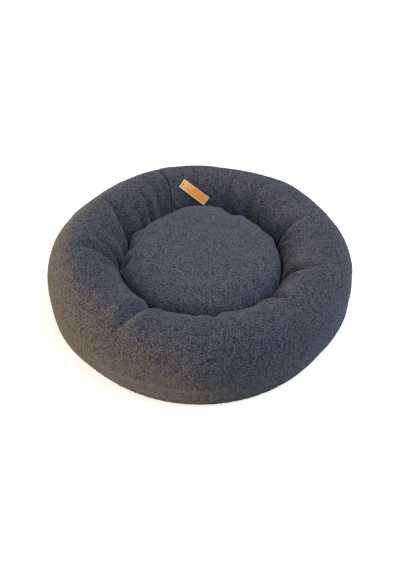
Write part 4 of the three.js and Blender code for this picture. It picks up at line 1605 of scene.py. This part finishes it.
    def rim_faces(self, front: Array, back: Array) -> Array:
        """The faces that close the rim between a fine front grid and a back four times as coarse.

        Args:
            front: The front's point numbers.
            back: The back's point numbers.

        Returns:
            Faces of four point numbers, the last two alike where a face has three corners.
        """
        faces = []
        sides = ((front[0], back[0]), (front[:, -1], back[:, -1]))
        sides += ((front[-1, ::-1], back[-1, ::-1]), (front[::-1, 0], back[::-1, 0]))
        for fine, coarse in sides:
            for k in range(len(coarse) - 1):
                a, b, c, d, e = fine[4 * k : 4 * k + 5]
                near, far = coarse[k : k + 2]
                faces += [[b, a, near, c], [c, near, far, e], [e, d, c, c]]
        return np.array(faces)


# Hard pieces


class Bench:
    """The bench on which one small piece is modelled, in millimetres, before it is put in its place."""

    def __init__(self, name: str) -> None:
        """Clears the bench for a piece of this name."""
        bpy.ops.object.select_all(action="DESELECT")
        self.name = name
        self.piece: Piece | None = None

    def add(self, kind: str, stretch: Size, middle: Size, **settings: object) -> None:
        """Adds a primitive to the piece, at its size and place, and leaves only that selected.

        Args:
            kind: Which primitive it is.
            stretch: How much it is stretched along each axis.
            middle: Where its middle goes, mm.
            settings: The primitive's own settings.
        """
        adder = getattr(bpy.ops.mesh, f"primitive_{kind}_add")
        if self.piece is None:
            adder(**settings)
            self.piece = bpy.context.object
            self.piece.name = self.piece.data.name = self.name
            bpy.ops.object.mode_set(mode="EDIT")
            bpy.ops.mesh.select_all(action="SELECT")
        else:
            bpy.ops.mesh.select_all(action="DESELECT")
            adder(**settings)
        bpy.ops.transform.resize(value=stretch, center_override=(0, 0, 0))
        bpy.ops.transform.translate(value=middle)

    def pick(self, kind: str, test: Callable[[Vector], bool]) -> int:
        """Selects the corners, edges or faces whose middle passes a test, and nothing else.

        Args:
            kind: VERT, EDGE or FACE.
            test: Says for a middle, in mm, whether that part is wanted.

        Returns:
            How many parts are selected.
        """
        bpy.ops.mesh.select_mode(type=kind)
        bpy.ops.mesh.select_all(action="DESELECT")
        shape = bmesh.from_edit_mesh(self.piece.data)
        parts = {"VERT": shape.verts, "EDGE": shape.edges, "FACE": shape.faces}[kind]
        count = 0
        for part in parts:
            spots = [part.co] if kind == "VERT" else [corner.co for corner in part.verts]
            if test(sum(spots, Vector()) / len(spots)):
                part.select_set(True)
                count += 1
        bmesh.update_edit_mesh(self.piece.data)
        return count

    def shift(self, kind: str, test: Callable[[Vector], bool], move: Size) -> None:
        """Moves the parts that pass a test."""
        if self.pick(kind, test):
            bpy.ops.transform.translate(value=move)

    def cut(self, axis: int, places: tuple[float, ...]) -> None:
        """Cuts the whole piece across an axis at some places, without taking anything off it."""
        normal = tuple(float(k == axis) for k in range(3))
        for place in places:
            bpy.ops.mesh.select_all(action="SELECT")
            bpy.ops.mesh.bisect(plane_co=tuple(place * n for n in normal), plane_no=normal)

    def bevel(self, width: float, segments: int = 2, corners: bool = False) -> None:
        """Rounds the selected edges, or the selected corners of a flat shape."""
        affect = "VERTICES" if corners else "EDGES"
        bpy.ops.mesh.bevel(offset=width, segments=segments, affect=affect, clamp_overlap=True)

    def modify(self, kind: str, **settings: object) -> None:
        """Puts a modifier on the piece and applies it."""
        bpy.ops.object.mode_set(mode="OBJECT")
        modifier = self.piece.modifiers.new(kind.lower(), kind)
        for key, value in settings.items():
            setattr(modifier, key, value)
        bpy.ops.object.modifier_apply(modifier=modifier.name)
        bpy.ops.object.mode_set(mode="EDIT")

    def repeat(self, count: int, offset: Size) -> None:
        """Makes a row of copies of the piece, each moved on by the same offset."""
        rule = {"use_relative_offset": False, "use_constant_offset": True}
        self.modify("ARRAY", count=count, constant_offset_displace=offset, **rule)

    def round_edges(self, width: float, angle: float, segments: int = 2) -> None:
        """Rounds every edge that turns by more than an angle."""
        limit = math.radians(angle)
        self.modify("BEVEL", width=width, segments=segments, limit_method="ANGLE", angle_limit=limit)

    def points(self) -> Array:
        """The piece's points once it is off the bench, mm."""
        flat = np.zeros(3 * len(self.piece.data.vertices), np.float32)
        self.piece.data.vertices.foreach_get("co", flat)
        return flat.reshape(-1, 3).astype(float)

    def place(self, rule: Callable[[Array], Array], angle: float = 35.0) -> Piece:
        """Takes the piece off the bench.

        Args:
            rule: Gives for points on the bench their places on the bed, mm.
            angle: Edges that turn less than this are shown smooth.

        Returns:
            The finished object, at the origin.
        """
        bpy.ops.object.mode_set(mode="OBJECT")
        bpy.ops.object.shade_smooth_by_angle(angle=math.radians(angle))
        moved = rule(self.points()) * MM
        self.piece.data.vertices.foreach_set("co", moved.astype(np.float32).ravel())
        self.piece.data.update()
        bpy.ops.object.select_all(action="DESELECT")
        return self.piece


@dataclass
class Label:
    """The leather strip on the ring's inner wall, sewn at one end by a knotted thread through its hole.

    Attributes:
        origin: The middle of its sewn end, on its underside, mm.
        along, across, out: Its axes: from the sewn end, across it, and away from the wall.
        length, width, thickness, corner: Its size and the radius of its corners, mm.
        band: How wide its pale rubbed edge is, mm.
        groove_inset, groove_depth: How far inside that band the pressed line runs, and its depth, mm.
        hole_inset, hole_half: How far the thread's hole is from the sewn end, and half its width, mm.
        bend_at: Where the strip bends, from its sewn end, mm; not used.
        lie: How far its sewn end lies closer to the wall at its upper edge, mm.
    """

    origin: Size = (-40.381, 198.688, 152.416)
    along: Size = (0.799975, -0.299336, -0.520036)
    across: Size = (0.597258, 0.480493, 0.642191)
    out: Size = (0.057643, -0.824333, 0.563163)
    length: float = 68.0
    width: float = 21.0
    thickness: float = 1.6
    corner: float = 1.5
    band: float = 0.8
    groove_inset: float = 1.3
    groove_depth: float = 0.22
    hole_inset: float = 4.5
    hole_half: float = 1.1
    bend_at: float = 8.2
    lie: float = 4.6

    def place(self) -> Array:
        """The label's own axes and origin as a 4 by 4 matrix, mm."""
        matrix = np.eye(4)
        matrix[:3, :4] = np.array([self.along, self.across, self.out, self.origin]).T
        return matrix

    def sag(self, x: Array, y: Array) -> Array:
        """How far the strip's points lie closer to the wall than its flat outline, mm."""
        near_end = 1 - smoothstep(x, -2, 40)
        upper = np.clip(y / self.width + 0.5, 0, 1)
        return -self.lie * near_end * upper

    def settled(self, points: Array) -> Array:
        """Points of the flat strip, moved to where they are on the bed."""
        lower = points.copy()
        lower[:, 2] += self.sag(points[:, 0], points[:, 1])
        matrix = self.place()
        return lower @ matrix[:3, :3].T + matrix[:3, 3]

    def rubbed(self, points: Array) -> Array:
        """How pale each point of the flat strip is: along its edges, and a little at its sewn end."""
        half = np.array([self.length / 2, self.width / 2])
        past = np.abs(points[:, :2] - (self.length / 2, 0)) - half + self.corner
        outside = np.linalg.norm(np.maximum(past, 0), axis=1) + np.minimum(past.max(axis=1), 0)
        depth = self.corner - outside
        edge = 1 - smoothstep(depth, 0.5, 1.9)
        return np.maximum(edge, 0.42 * (1 - smoothstep(points[:, 0], 9, 27)))

    def make_strip(self, finish: Material) -> Piece:
        """The strip: a bare face with one plain pressed line inside its pale edge."""
        bench = Bench("bed_label")
        bench.add("plane", (self.length, self.width, 1), (self.length / 2, 0, 0), size=1)
        bpy.ops.mesh.select_mode(type="VERT")
        bench.bevel(self.corner, 4, corners=True)
        bench.pick("FACE", lambda spot: True)
        bpy.ops.mesh.inset(thickness=self.band)
        bpy.ops.mesh.inset(thickness=self.corner - self.band - 0.05)
        bpy.ops.mesh.select_all(action="SELECT")
        bpy.ops.mesh.remove_doubles(threshold=0.2)
        bench.pick("FACE", lambda spot: abs(spot.x - self.length / 2) < 1 and abs(spot.y) < 1)
        bpy.ops.mesh.inset(thickness=self.band + self.groove_inset - self.corner)
        bpy.ops.mesh.inset(thickness=0.25, depth=-self.groove_depth)
        bpy.ops.mesh.inset(thickness=0.35)
        bpy.ops.mesh.inset(thickness=0.25, depth=self.groove_depth)
        half = self.hole_half
        middle = self.hole_inset
        bench.cut(0, (middle - half - 0.25, middle + half + 0.25))
        bench.cut(1, (-half - 0.25, half + 0.25))
        bench.pick("FACE", lambda spot: abs(spot.x - middle) < half and abs(spot.y) < half)
        bpy.ops.mesh.inset(thickness=0.25)

        def at_corner(spot: Vector) -> bool:
            """Whether a place is at one of the hole's four corners."""
            return max(abs(abs(spot.x - middle) - half), abs(abs(spot.y) - half)) < 0.02

        bench.pick("VERT", at_corner)
        bench.bevel(0.58 * half, 2, corners=True)
        bench.pick("FACE", lambda spot: abs(spot.x - middle) < 0.4 * half and abs(spot.y) < 0.4 * half)
        bpy.ops.mesh.delete(type="FACE")
        bench.cut(0, (6.6, 7.1, 7.6, 8.0, 8.4, 8.8, 9.3, 9.9, 10.6, 12, 16, 22, 28, 34, 40, 48, 58))
        bench.cut(1, (-6.5, -3.2, 3.2, 6.5))
        bench.modify("SOLIDIFY", thickness=self.thickness, offset=1.0)
        bench.round_edges(0.28, 60)
        bpy.ops.object.mode_set(mode="OBJECT")
        pale = self.rubbed(bench.points())
        layer = bench.piece.data.attributes.new("edge", "FLOAT", "POINT")
        layer.data.foreach_set("value", pale.astype(np.float32))
        piece = bench.place(self.settled)
        dress(piece, finish)
        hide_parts("label_sewn_end", "label_flap")
        matrix = self.place()
        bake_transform(piece)
        return piece

    def make_thread(self, finish: Material) -> Piece:
        """The knotted thread: a coil on the label's face, a loop over it and a leg into the fleece."""
        bench = Bench("bed_label_thread")
        top = self.thickness
        middle = self.hole_inset
        turn = {"major_segments": 20, "minor_segments": 8, "major_radius": 0.95, "minor_radius": 0.42}
        bench.add("torus", (1, 1, 0.85), (middle, 0, top + 0.4), **turn)
        bench.add("torus", (0.75, 0.9, 0.8), (middle, 0, top + 0.95), **turn)
        bench.add("cube", (0.7, 2.4, 0.55), (middle, 0, top + 1.3), size=1)
        bench.bevel(0.2, 2)
        bench.add("cylinder", (0.45, 0.45, 4.4), (middle, 0, top - 1.75), vertices=12, radius=1, depth=1)
        sink = float(self.sag(np.array([middle]), np.array([0.0]))[0])
        matrix = self.place()

        def settle(points: Array) -> Array:
            """The knot in its hole, not stretched."""
            return (points + (0, 0, sink)) @ matrix[:3, :3].T + matrix[:3, 3]

        piece = bench.place(settle)
        dress(piece, finish)
        return seat(piece, Body.RING, "label_thread")


# The zips


@dataclass
class Zip:
    """A coil zip in a straight band of a round section: tapes, coils, stops, a slider and its pull.

    On the bench, X runs along the chain, Y up the band and Z out of it, from the fleece's outer face.

    Attributes:
        owner: The body that it is sewn into.
        below, above: The band's lower and upper edge, each a radius and a height, mm.
        start, stop: The angles at which the zip starts, at its closed end, and stops.
        tape_half: How far a tape reaches from the chain's middle, mm.
        tape_levels: The levels of the tapes' two faces, mm.
        coil_half: How far a coil reaches from the chain's middle, mm.
        coil_levels: The levels of the coils' inner and outer side, mm.
        chain_half: Half the gap between the tapes, mm.
        pitch: The distance between the teeth of one coil, mm.
        stop_length: How long each end stop is, mm.
        slider: The slider's length and width, mm.
        plate: How thick the slider's plates and the pull are, mm.
        plate_levels: The undersides of the slider's inner and outer plate, mm.
        pin_level: The level of the pin that the pull hangs from, mm.
        stitch_at: How far the stitches are from the chain's middle, mm.
    """

    owner: Body
    below: tuple[float, float]
    above: tuple[float, float]
    start: float
    stop: float
    tape_half: float = 12.0
    tape_levels: tuple[float, float] = (-5.9, -5.3)
    coil_half: float = 3.4
    coil_levels: tuple[float, float] = (-5.0, -3.0)
    chain_half: float = 0.8
    pitch: float = 2.1
    stop_length: float = 3.0
    slider: tuple[float, float] = (12.0, 9.0)
    plate: float = 1.2
    plate_levels: tuple[float, float] = (-7.4, -2.7)
    pin_level: float = 0.4
    stitch_at: float = 4.7

    def __post_init__(self) -> None:
        """Works out the band's own axes."""
        low, high = np.array(self.below), np.array(self.above)
        self.up = (high - low) / np.linalg.norm(high - low)
        self.out = np.array([self.up[1], -self.up[0]])
        self.middle = (low + high) / 2
        self.per_degree = self.middle[0] * math.pi / 180
        self.rest = self.start + (self.stop_length + self.slider[0] / 2 + 0.3) / self.per_degree

    @property
    def chain(self) -> float:
        """How long the chain is, mm."""
        return (self.stop - self.start) * self.per_degree

    def bent(self, points: Array) -> Array:
        """Points from the bench laid round the bed, with X measured from the zip's start."""
        turn = np.radians(self.start + points[:, 0] / self.per_degree)
        spot = self.middle + points[:, 1:2] * self.up + points[:, 2:3] * self.out
        return np.stack([spot[:, 0] * np.cos(turn), spot[:, 0] * np.sin(turn), spot[:, 1]], axis=1)

    def turned(self, points: Array) -> Array:
        """The same for the lower side: turned end for end first."""
        return self.bent(points * (-1, -1, 1) + (self.chain, 0, 0))

    def standing(self, points: Array, level: float, up: Array, out: Array) -> Array:
        """Points from the bench at the slider's resting place, not bent.

        Args:
            points: The points.
            level: How far the bench's origin is out from the fleece's outer face, mm.
            up: The bench's Y, as a radius and a height.
            out: The bench's Z.

        Returns:
            The points on the bed.
        """
        turn = math.radians(self.rest)
        c, k = math.cos(turn), math.sin(turn)
        spot = self.middle + level * self.out
        axes = np.array([(-k, c, 0), (up[0] * c, up[0] * k, up[1]), (out[0] * c, out[0] * k, out[1])])
        return points @ axes + (spot[0] * c, spot[0] * k, spot[1])

    def seated(self, points: Array) -> Array:
        """Points of the slider, square to the band."""
        return self.standing(points, 0.0, self.up, self.out)

    def hung(self, points: Array) -> Array:
        """Points of the pull hung from the slider's pin: Y straight up, Z level and outwards."""
        return self.standing(points, self.pin_level, np.array([0, 1]), np.array([1, 0]))

    def settle(self, piece: Piece, finish: Material, slot: Slot, node: str) -> Piece:
        """Dresses a piece of the zip, and says what it rides on and which node it stands for."""
        dress(piece, finish)
        full = f"{self.owner.value}_zip_{node}"
        return seat(piece, Body(full) if node in ("slider", "pull") else self.owner, full)

    def make_tape(self, side: str, finish: Material) -> Piece:
        """One woven tape, with the thicker bead along its inner edge."""
        across = np.array([self.chain_half, 1.3, 1.9, 2.6, 4.0, 6.0, 8.0, 10.0, 11.4, self.tape_half])
        along = np.linspace(0, self.chain, round(self.chain / 2.4) + 1)
        x, y = np.meshgrid(along, across)
        rule = self.bent if side == "upper" else self.turned
        bead = 0.25 * np.exp(-(((y - 1.3) / 0.5) ** 2))
        levels = (self.tape_levels[1] + bead, np.full_like(bead, self.tape_levels[0]))
        outer, inner = (rule(np.stack([x, y, level], axis=-1).reshape(-1, 3)) for level in levels)
        points, shell = closed_shell(outer, inner, grid_faces(numbered(*x.shape)))
        cloth = np.tile(np.stack([x.ravel(), y.ravel()], axis=1) * MM, (2, 1))
        piece = build_mesh(f"bed_{self.owner.value}_zip_tape_{side}", points, shell, None, cloth)
        return self.settle(piece, finish, Slot.TAPE, f"tape_{side}")

    def make_coil(self, side: str, finish: Material) -> Piece:
        """One coil: arched teeth in a row, each modelled as a bar with flattened edges."""
        low, high = self.coil_levels
        start, reach, wide, thick = 0.1, self.coil_half, 0.95, 0.8
        long = reach - start
        middle = (start + reach) / 2
        bench = Bench(f"bed_{self.owner.value}_zip_coil_{side}")
        bench.add("cube", (wide, long, thick), (0, middle, low + thick / 2 + 0.05), size=1)
        bench.pick("EDGE", lambda spot: abs(spot.y - middle) < 0.01 and abs(spot.x) > 0.4 * wide)
        bench.bevel(0.26, 1)
        places = (start + 0.25 * long, middle, start + 0.75 * long)
        bench.cut(1, places)
        rise = high - low - thick - 0.1
        for place, share in zip(places, (0.9, 1.0, 0.75)):
            bench.shift("VERT", lambda spot: abs(spot.y - place) < 0.05, (0, 0, share * rise))
        bench.shift("VERT", lambda spot: spot.y < start + 0.05, (0, 0, 0.55 * rise))
        count = int((self.chain - 2 * self.stop_length - 0.6) / self.pitch)
        bench.repeat(count, (self.pitch, 0, 0))
        apart = 0.25 if side == "upper" else -0.25
        first = (self.chain - (count - 1) * self.pitch) / 2 + apart * self.pitch
        rule = self.bent if side == "upper" else self.turned
        piece = bench.place(lambda points: rule(points + (first, 0, 0)), 50)
        return self.settle(piece, finish, Slot.COIL, f"coil_{side}")

    def make_stop(self, end: str, finish: Material) -> Piece:
        """One metal end stop, pinched over both coils."""
        low, high = self.coil_levels
        long = self.stop_length - 0.3
        middle = long / 2 if end == "first" else self.chain - long / 2
        bench = Bench(f"bed_{self.owner.value}_zip_stop_{end}")
        bench.add("cube", (long, 2 * self.coil_half, high - low), (0, 0, (low + high) / 2), size=1)
        bench.cut(1, (-1.6, -0.5, 0.5, 1.6))
        bench.shift("VERT", lambda spot: abs(spot.y) < 0.6 and spot.z > low + 0.1, (0, 0, -0.45))
        bench.round_edges(0.4, 50, 3)
        piece = bench.place(lambda points: self.bent(points + (middle, 0, 0)))
        return self.settle(piece, finish, Slot.METAL, f"stop_{end}")

    def make_slider(self, finish: Material) -> Piece:
        """The slider: two waisted plates, the web between them, and a bridge for the pull."""
        long, wide = self.slider
        bench = Bench(f"bed_{self.owner.value}_zip_slider")
        for level in self.plate_levels:
            middle = level + self.plate / 2
            bench.add("cube", (long, wide, self.plate), (0, 0, middle), size=1)

            def at_corner(spot: Vector) -> bool:
                """Whether a place is at an upright edge of this plate."""
                short = max(long / 2 - abs(spot.x), wide / 2 - abs(spot.y)) < 0.01
                return short and abs(spot.z - middle) < 0.01 + self.plate / 2

            bench.pick("EDGE", at_corner)
            bench.bevel(2.4, 4)
        bench.cut(0, (-1.5, 2.0))
        bench.pick("VERT", lambda spot: spot.x > 2.5)
        bpy.ops.transform.resize(value=(1, 0.86, 1), center_override=(0, 0, 0))
        inner, outer = (level + self.plate / 2 for level in self.plate_levels)
        bench.add("cube", (long / 2, 0.18, outer - inner), (0, 0, (outer + inner) / 2), size=1)
        top = self.plate_levels[1] + self.plate
        lug_at = (long - 1.6) / 2
        for side in (-1, 1):
            lift = top + 1.5 - self.plate / 4
            bench.add("cube", (1.6, 3.0, 3.0 + self.plate / 2), (side * lug_at, 0, lift), size=1)
            bench.pick(
                "EDGE",
                lambda spot: spot.z > top + 2.9 and abs(spot.x - side * lug_at) < 0.9 and abs(spot.y) > 1.4,
            )
            bench.bevel(1.1, 3)
        bench.add("cylinder", (0.6, 0.6, 2 * lug_at), (0, 0, 0), vertices=16, radius=1, depth=1)
        bpy.ops.transform.rotate(value=math.pi / 2, orient_axis="Y", center_override=(0, 0, 0))
        bpy.ops.transform.translate(value=(0, 0, self.pin_level))
        bench.round_edges(0.16, 50)
        return self.settle(bench.place(self.seated), finish, Slot.METAL, "slider")

    def make_pull(self, finish: Material) -> Piece:
        """The pull: an eye round the pin, a neck, and a tab with a raised rim and a window."""
        bench = Bench(f"bed_{self.owner.value}_zip_pull")
        wide, long, thick = 8.0, 24.0, self.plate
        bore = 0.9
        eye_long = 2 * ((self.slider[0] - 1.6) / 2 - 0.8 - 0.4)
        low = -bore - 1.9 - long
        bench.add("plane", (wide, long, 1), (0, low + long / 2, 0), size=1)
        bench.shift("VERT", lambda spot: spot.y > low + long - 0.1 and spot.x > 0, (-0.9, 0, 0))
        bench.shift("VERT", lambda spot: spot.y > low + long - 0.1 and spot.x < 0, (0.9, 0, 0))
        bench.pick("VERT", lambda spot: True)
        bench.bevel(2.4, 4, corners=True)
        bench.cut(1, (-18.0, -9.0))
        bench.cut(0, (-1.5, 1.5))
        bench.pick("FACE", lambda spot: abs(spot.x) < 1 and -17.9 < spot.y < -9.1)
        bpy.ops.mesh.delete(type="FACE")
        bench.modify("SOLIDIFY", thickness=thick, offset=0.0)
        bench.add("cube", (eye_long, 2.9 + 1.5, thick), (0, -(2.9 + 1.5) / 2 - 1.2, 0), size=1)
        bench.round_edges(0.3, 50)
        tube = {"vertices": 24, "radius": bore, "depth": eye_long, "end_fill_type": "NOTHING"}
        bench.add("cylinder", (1, 1, 1), (0, 0, 0), **tube)
        bpy.ops.transform.rotate(value=math.pi / 2, orient_axis="Y", center_override=(0, 0, 0))
        bpy.ops.mesh.extrude_region_shrink_fatten(TRANSFORM_OT_shrink_fatten={"value": 0.6})
        return self.settle(bench.place(self.hung), finish, Slot.METAL, "pull")

    def make_stitches(self, finish: Material) -> Piece:
        """The two rows of stitches that hold the tapes to the cover's edges."""
        bench = Bench(f"bed_{self.owner.value}_zip_stitches")
        step, long = 3.8, 2.7
        count = int((self.chain - 4) / step)
        level = self.tape_levels[1] + 0.12
        for side in (-1, 1):
            bench.add("cube", (long, 0.55, 0.42), (2 + long / 2, side * self.stitch_at, level), size=1)
            bench.bevel(0.14, 1)
        bench.repeat(count, (step, 0, 0))
        piece = bench.place(self.bent, 50)
        dress(piece, finish)
        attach(piece, self.owner.value)
        return piece

    def build(self, tape: Material, nylon: Material, metal: Material) -> list[Piece]:
        """All pieces of the zip."""
        made = [self.make_tape(side, tape) for side in ("upper", "lower")]
        made += [self.make_coil(side, nylon) for side in ("upper", "lower")]
        made += [self.make_stop(end, metal) for end in ("first", "last")]
        return made + [self.make_slider(metal), self.make_pull(metal), self.make_stitches(tape)]


# The base


@dataclass
class Base:
    """The woven panel under the whole bed, with rubber dots that keep it from sliding.

    Attributes:
        radius: Half its width, mm.
        thickness: How thick it is with its dots, mm.
        dot_height: How far the dots stand out of its underside, mm.
        dot_radius: How wide a dot is, from its middle, mm.
        dot_step: The distance between dots, mm.
    """

    radius: float = 269.6
    thickness: float = 2.5
    dot_height: float = 0.5
    dot_radius: float = 1.9
    dot_step: float = 17.0

    def make_panel(self, finish: Material) -> Piece:
        """The panel, with a low welt near its edge where it is folded over and sewn down."""
        bench = Bench("bed_base_panel")
        size = (self.radius, self.radius, 1)
        bench.add("circle", size, (0, 0, self.dot_height), vertices=180, fill_type="NGON", radius=1)
        bench.pick("FACE", lambda spot: True)
        bpy.ops.mesh.inset(thickness=7.0)
        bpy.ops.mesh.inset(thickness=0.8, depth=-0.5)
        bpy.ops.mesh.inset(thickness=0.8, depth=0.5)
        bpy.ops.mesh.inset(thickness=40.0)
        bench.modify("SOLIDIFY", thickness=self.thickness - self.dot_height, offset=1.0)
        bench.round_edges(0.6, 60)
        piece = bench.place(lambda points: points)
        dress(piece, finish)
        return seat(piece, Body.RING, "base_panel")

    def make_dots(self, finish: Material) -> Piece:
        """The rubber dots on the panel's underside."""
        bench = Bench("bed_base_dots")
        count = int(2 * (self.radius - 16) / self.dot_step)
        first = -(count - 1) * self.dot_step / 2
        dot = {"vertices": 10, "radius": self.dot_radius, "depth": self.dot_height + 0.1}
        bench.add("cylinder", (1, 1, 1), (first, first, self.dot_height / 2 + 0.06), **dot)
        bench.pick("EDGE", lambda spot: spot.z < 0.1)
        bench.bevel(0.25, 2)
        for offset in ((self.dot_step, 0, 0), (0, self.dot_step, 0)):
            bench.repeat(count, offset)
        reach = self.radius - 14

        def past_edge(spot: Vector) -> bool:
            """Whether a place belongs to a dot beyond the panel's edge."""
            steps = [round((value - first) / self.dot_step) for value in (spot.x, spot.y)]
            return math.hypot(*[first + step * self.dot_step for step in steps]) > reach

        bench.pick("VERT", past_edge)
        bpy.ops.mesh.delete(type="VERT")
        piece = bench.place(lambda points: points)
        dress(piece, finish)
        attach(piece, Body.RING.value)
        return piece


# The studio


@dataclass
class Studio:
    """The floor, the lamps, the world's light and the camera.

    Attributes:
        distance: How far the camera is from the point that it looks at, mm.
        elevation: How many degrees it looks down.
        aim: How high that point is, mm.
        focal_pixels: The lens's focal length in pixels of the picture.
        picture_height: The picture's height, in pixels.
        picture_shift: How far the view is shifted down, in pixels.
        sensor: The camera's sensor, mm.
        sky: The colour of the light from all sides.
        sky_strength: Its strength.
    """

    distance: float = 1100.0
    elevation: float = 42.8
    aim: float = 65.0
    focal_pixels: float = 536.0
    picture_height: float = 570.0
    picture_shift: float = 12.1
    sensor: float = 36.0
    sky: Colour = (1.0, 0.88, 0.63)
    sky_strength: float = 0.62

    def make_camera(self) -> None:
        """The camera at the photograph's angle."""
        data = bpy.data.cameras.new("view")
        data.sensor_width = self.sensor
        data.lens = self.sensor * self.focal_pixels / self.picture_height
        data.shift_y = -self.picture_shift / self.picture_height
        data.clip_start, data.clip_end = 0.01, 30
        camera = bpy.data.objects.new("view", data)
        bpy.context.scene.collection.objects.link(camera)
        lift = math.radians(self.elevation)
        level = self.aim + self.distance * math.sin(lift)
        camera.location = (0, -self.distance * math.cos(lift) * MM, level * MM)
        camera.rotation_euler = (math.radians(90) - lift, 0, 0)
        bpy.context.scene.camera = camera

    def make_lamp(self, name: str, place: Size, size: float, watts: float, colour: Colour) -> None:
        """A square soft lamp that faces the bed.

        Args:
            name: The lamp's name.
            place: Where it hangs, in metres.
            size: Its side, in metres.
            watts: Its power.
            colour: Its colour.
        """
        data = bpy.data.lights.new(name, "AREA")
        data.shape, data.size = "SQUARE", size
        data.energy, data.color = watts, colour
        lamp = bpy.data.objects.new(name, data)
        bpy.context.scene.collection.objects.link(lamp)
        lamp.location = place
        toward = Vector((0, 0, 0.08)) - Vector(place)
        lamp.rotation_euler = toward.to_track_quat("-Z", "Y").to_euler()

    def make_world(self) -> None:
        """An even pale light from all sides, which is plain white to the camera."""
        world = bpy.data.worlds.new("studio")
        bpy.context.scene.world = world
        s = Nodes(world)
        light = s.node("Background", {"Color": (*self.sky, 1.0), "Strength": self.sky_strength})
        white = s.node("Background", {"Color": (1.0, 1.0, 1.0, 1.0)})
        mixed = s.node("MixShader", {0: s.seen_plainly(), 1: light.outputs[0], 2: white.outputs[0]})
        s.feed(s.tree.nodes["World Output"].inputs["Surface"], mixed.outputs[0])

    def make_floor(self) -> None:
        """The pale floor under the bed."""
        bpy.ops.object.select_all(action="DESELECT")
        bpy.ops.mesh.primitive_plane_add(size=14, location=(0, 0, -0.0008))
        floor = bpy.context.object
        floor.name = "floor"
        bpy.ops.object.transform_apply(location=True, rotation=False, scale=False)
        floor.data.materials.append(StudioFinish().material("floor"))

    def build(self) -> None:
        """Everything round the bed."""
        bpy.context.scene.view_settings.view_transform = "Standard"
        self.make_camera()
        self.make_world()
        self.make_floor()
        self.make_lamp("lamp_above", (0.42, 0.72, 1.75), 1.1, 12, (1.0, 0.66, 0.40))
        self.make_lamp("lamp_left", (-2.1, -0.72, 0.12), 0.45, 96, (1.0, 0.64, 0.29))
        self.make_lamp("lamp_high", (0.7, -0.5, 1.7), 0.8, 21, (0.27, 0.57, 1.0))


def corners(box: tuple[Vector, Vector]) -> list[list[float]]:
    """A box's two corners as plain lists."""
    return [[float(value) for value in corner] for corner in box]


def main() -> None:
    """Builds the bed piece by piece."""
    logging.basicConfig(level=logging.INFO, format="%(name)s: %(message)s")
    Studio().build()
    fleece = FleeceFinish().material("fleece_dark")
    # The cushion's fleece is a lighter copy of the ring's fleece: painted light for its well-lit,
    # upward-facing top.
    painted_lighter_fleece = FleeceFinish(
        tip=(0.130, 0.140, 0.184), gap=(0.030, 0.031, 0.040), warm=(0.138, 0.139, 0.168)
    ).material("fleece_cushion_painted_light")
    lining = FeltFinish((0.70, 0.69, 0.66), (0.52, 0.51, 0.49)).material("lining")
    wadding = FeltFinish((0.86, 0.85, 0.82), (0.62, 0.61, 0.59), 160, 1.5).material("wadding")
    woven = WovenFinish().material("woven_base")
    leather = LeatherFinish().material("leather_tan")
    thread = NylonFinish((0.06, 0.045, 0.035), 0.6).material("thread_dark")
    tape = WovenFinish((0.05, 0.052, 0.06), (0.02, 0.02, 0.024), 0.7, 0.15).material("zip_tape", "UV")
    nylon = NylonFinish((0.04, 0.042, 0.048)).material("zip_nylon")
    metal = MetalFinish().material("zip_metal")
    rubber = NylonFinish((0.03, 0.03, 0.034), 0.7).material("rubber_dots")
    label, ring, cushion, base = Label(), Ring(), Cushion(), Base()
    made = [
        ring.make_cover(label, fleece),
        ring.make_liner(lining),
        ring.make_wadding(wadding),
        cushion.make_top(ring, painted_lighter_fleece),
        cushion.make_bottom(woven),
        cushion.make_liner(lining),
        cushion.make_wadding(wadding),
        label.make_strip(leather),
        label.make_thread(thread),
        *ring.zipper().build(tape, nylon, metal),
        *cushion.zipper().build(tape, nylon, metal),
        base.make_panel(woven),
        base.make_dots(rubber),
    ]
    for piece in made:
        LOG.info("%s: %d faces", piece.name, len(piece.data.polygons))


if __name__ == "__main__":
    main()
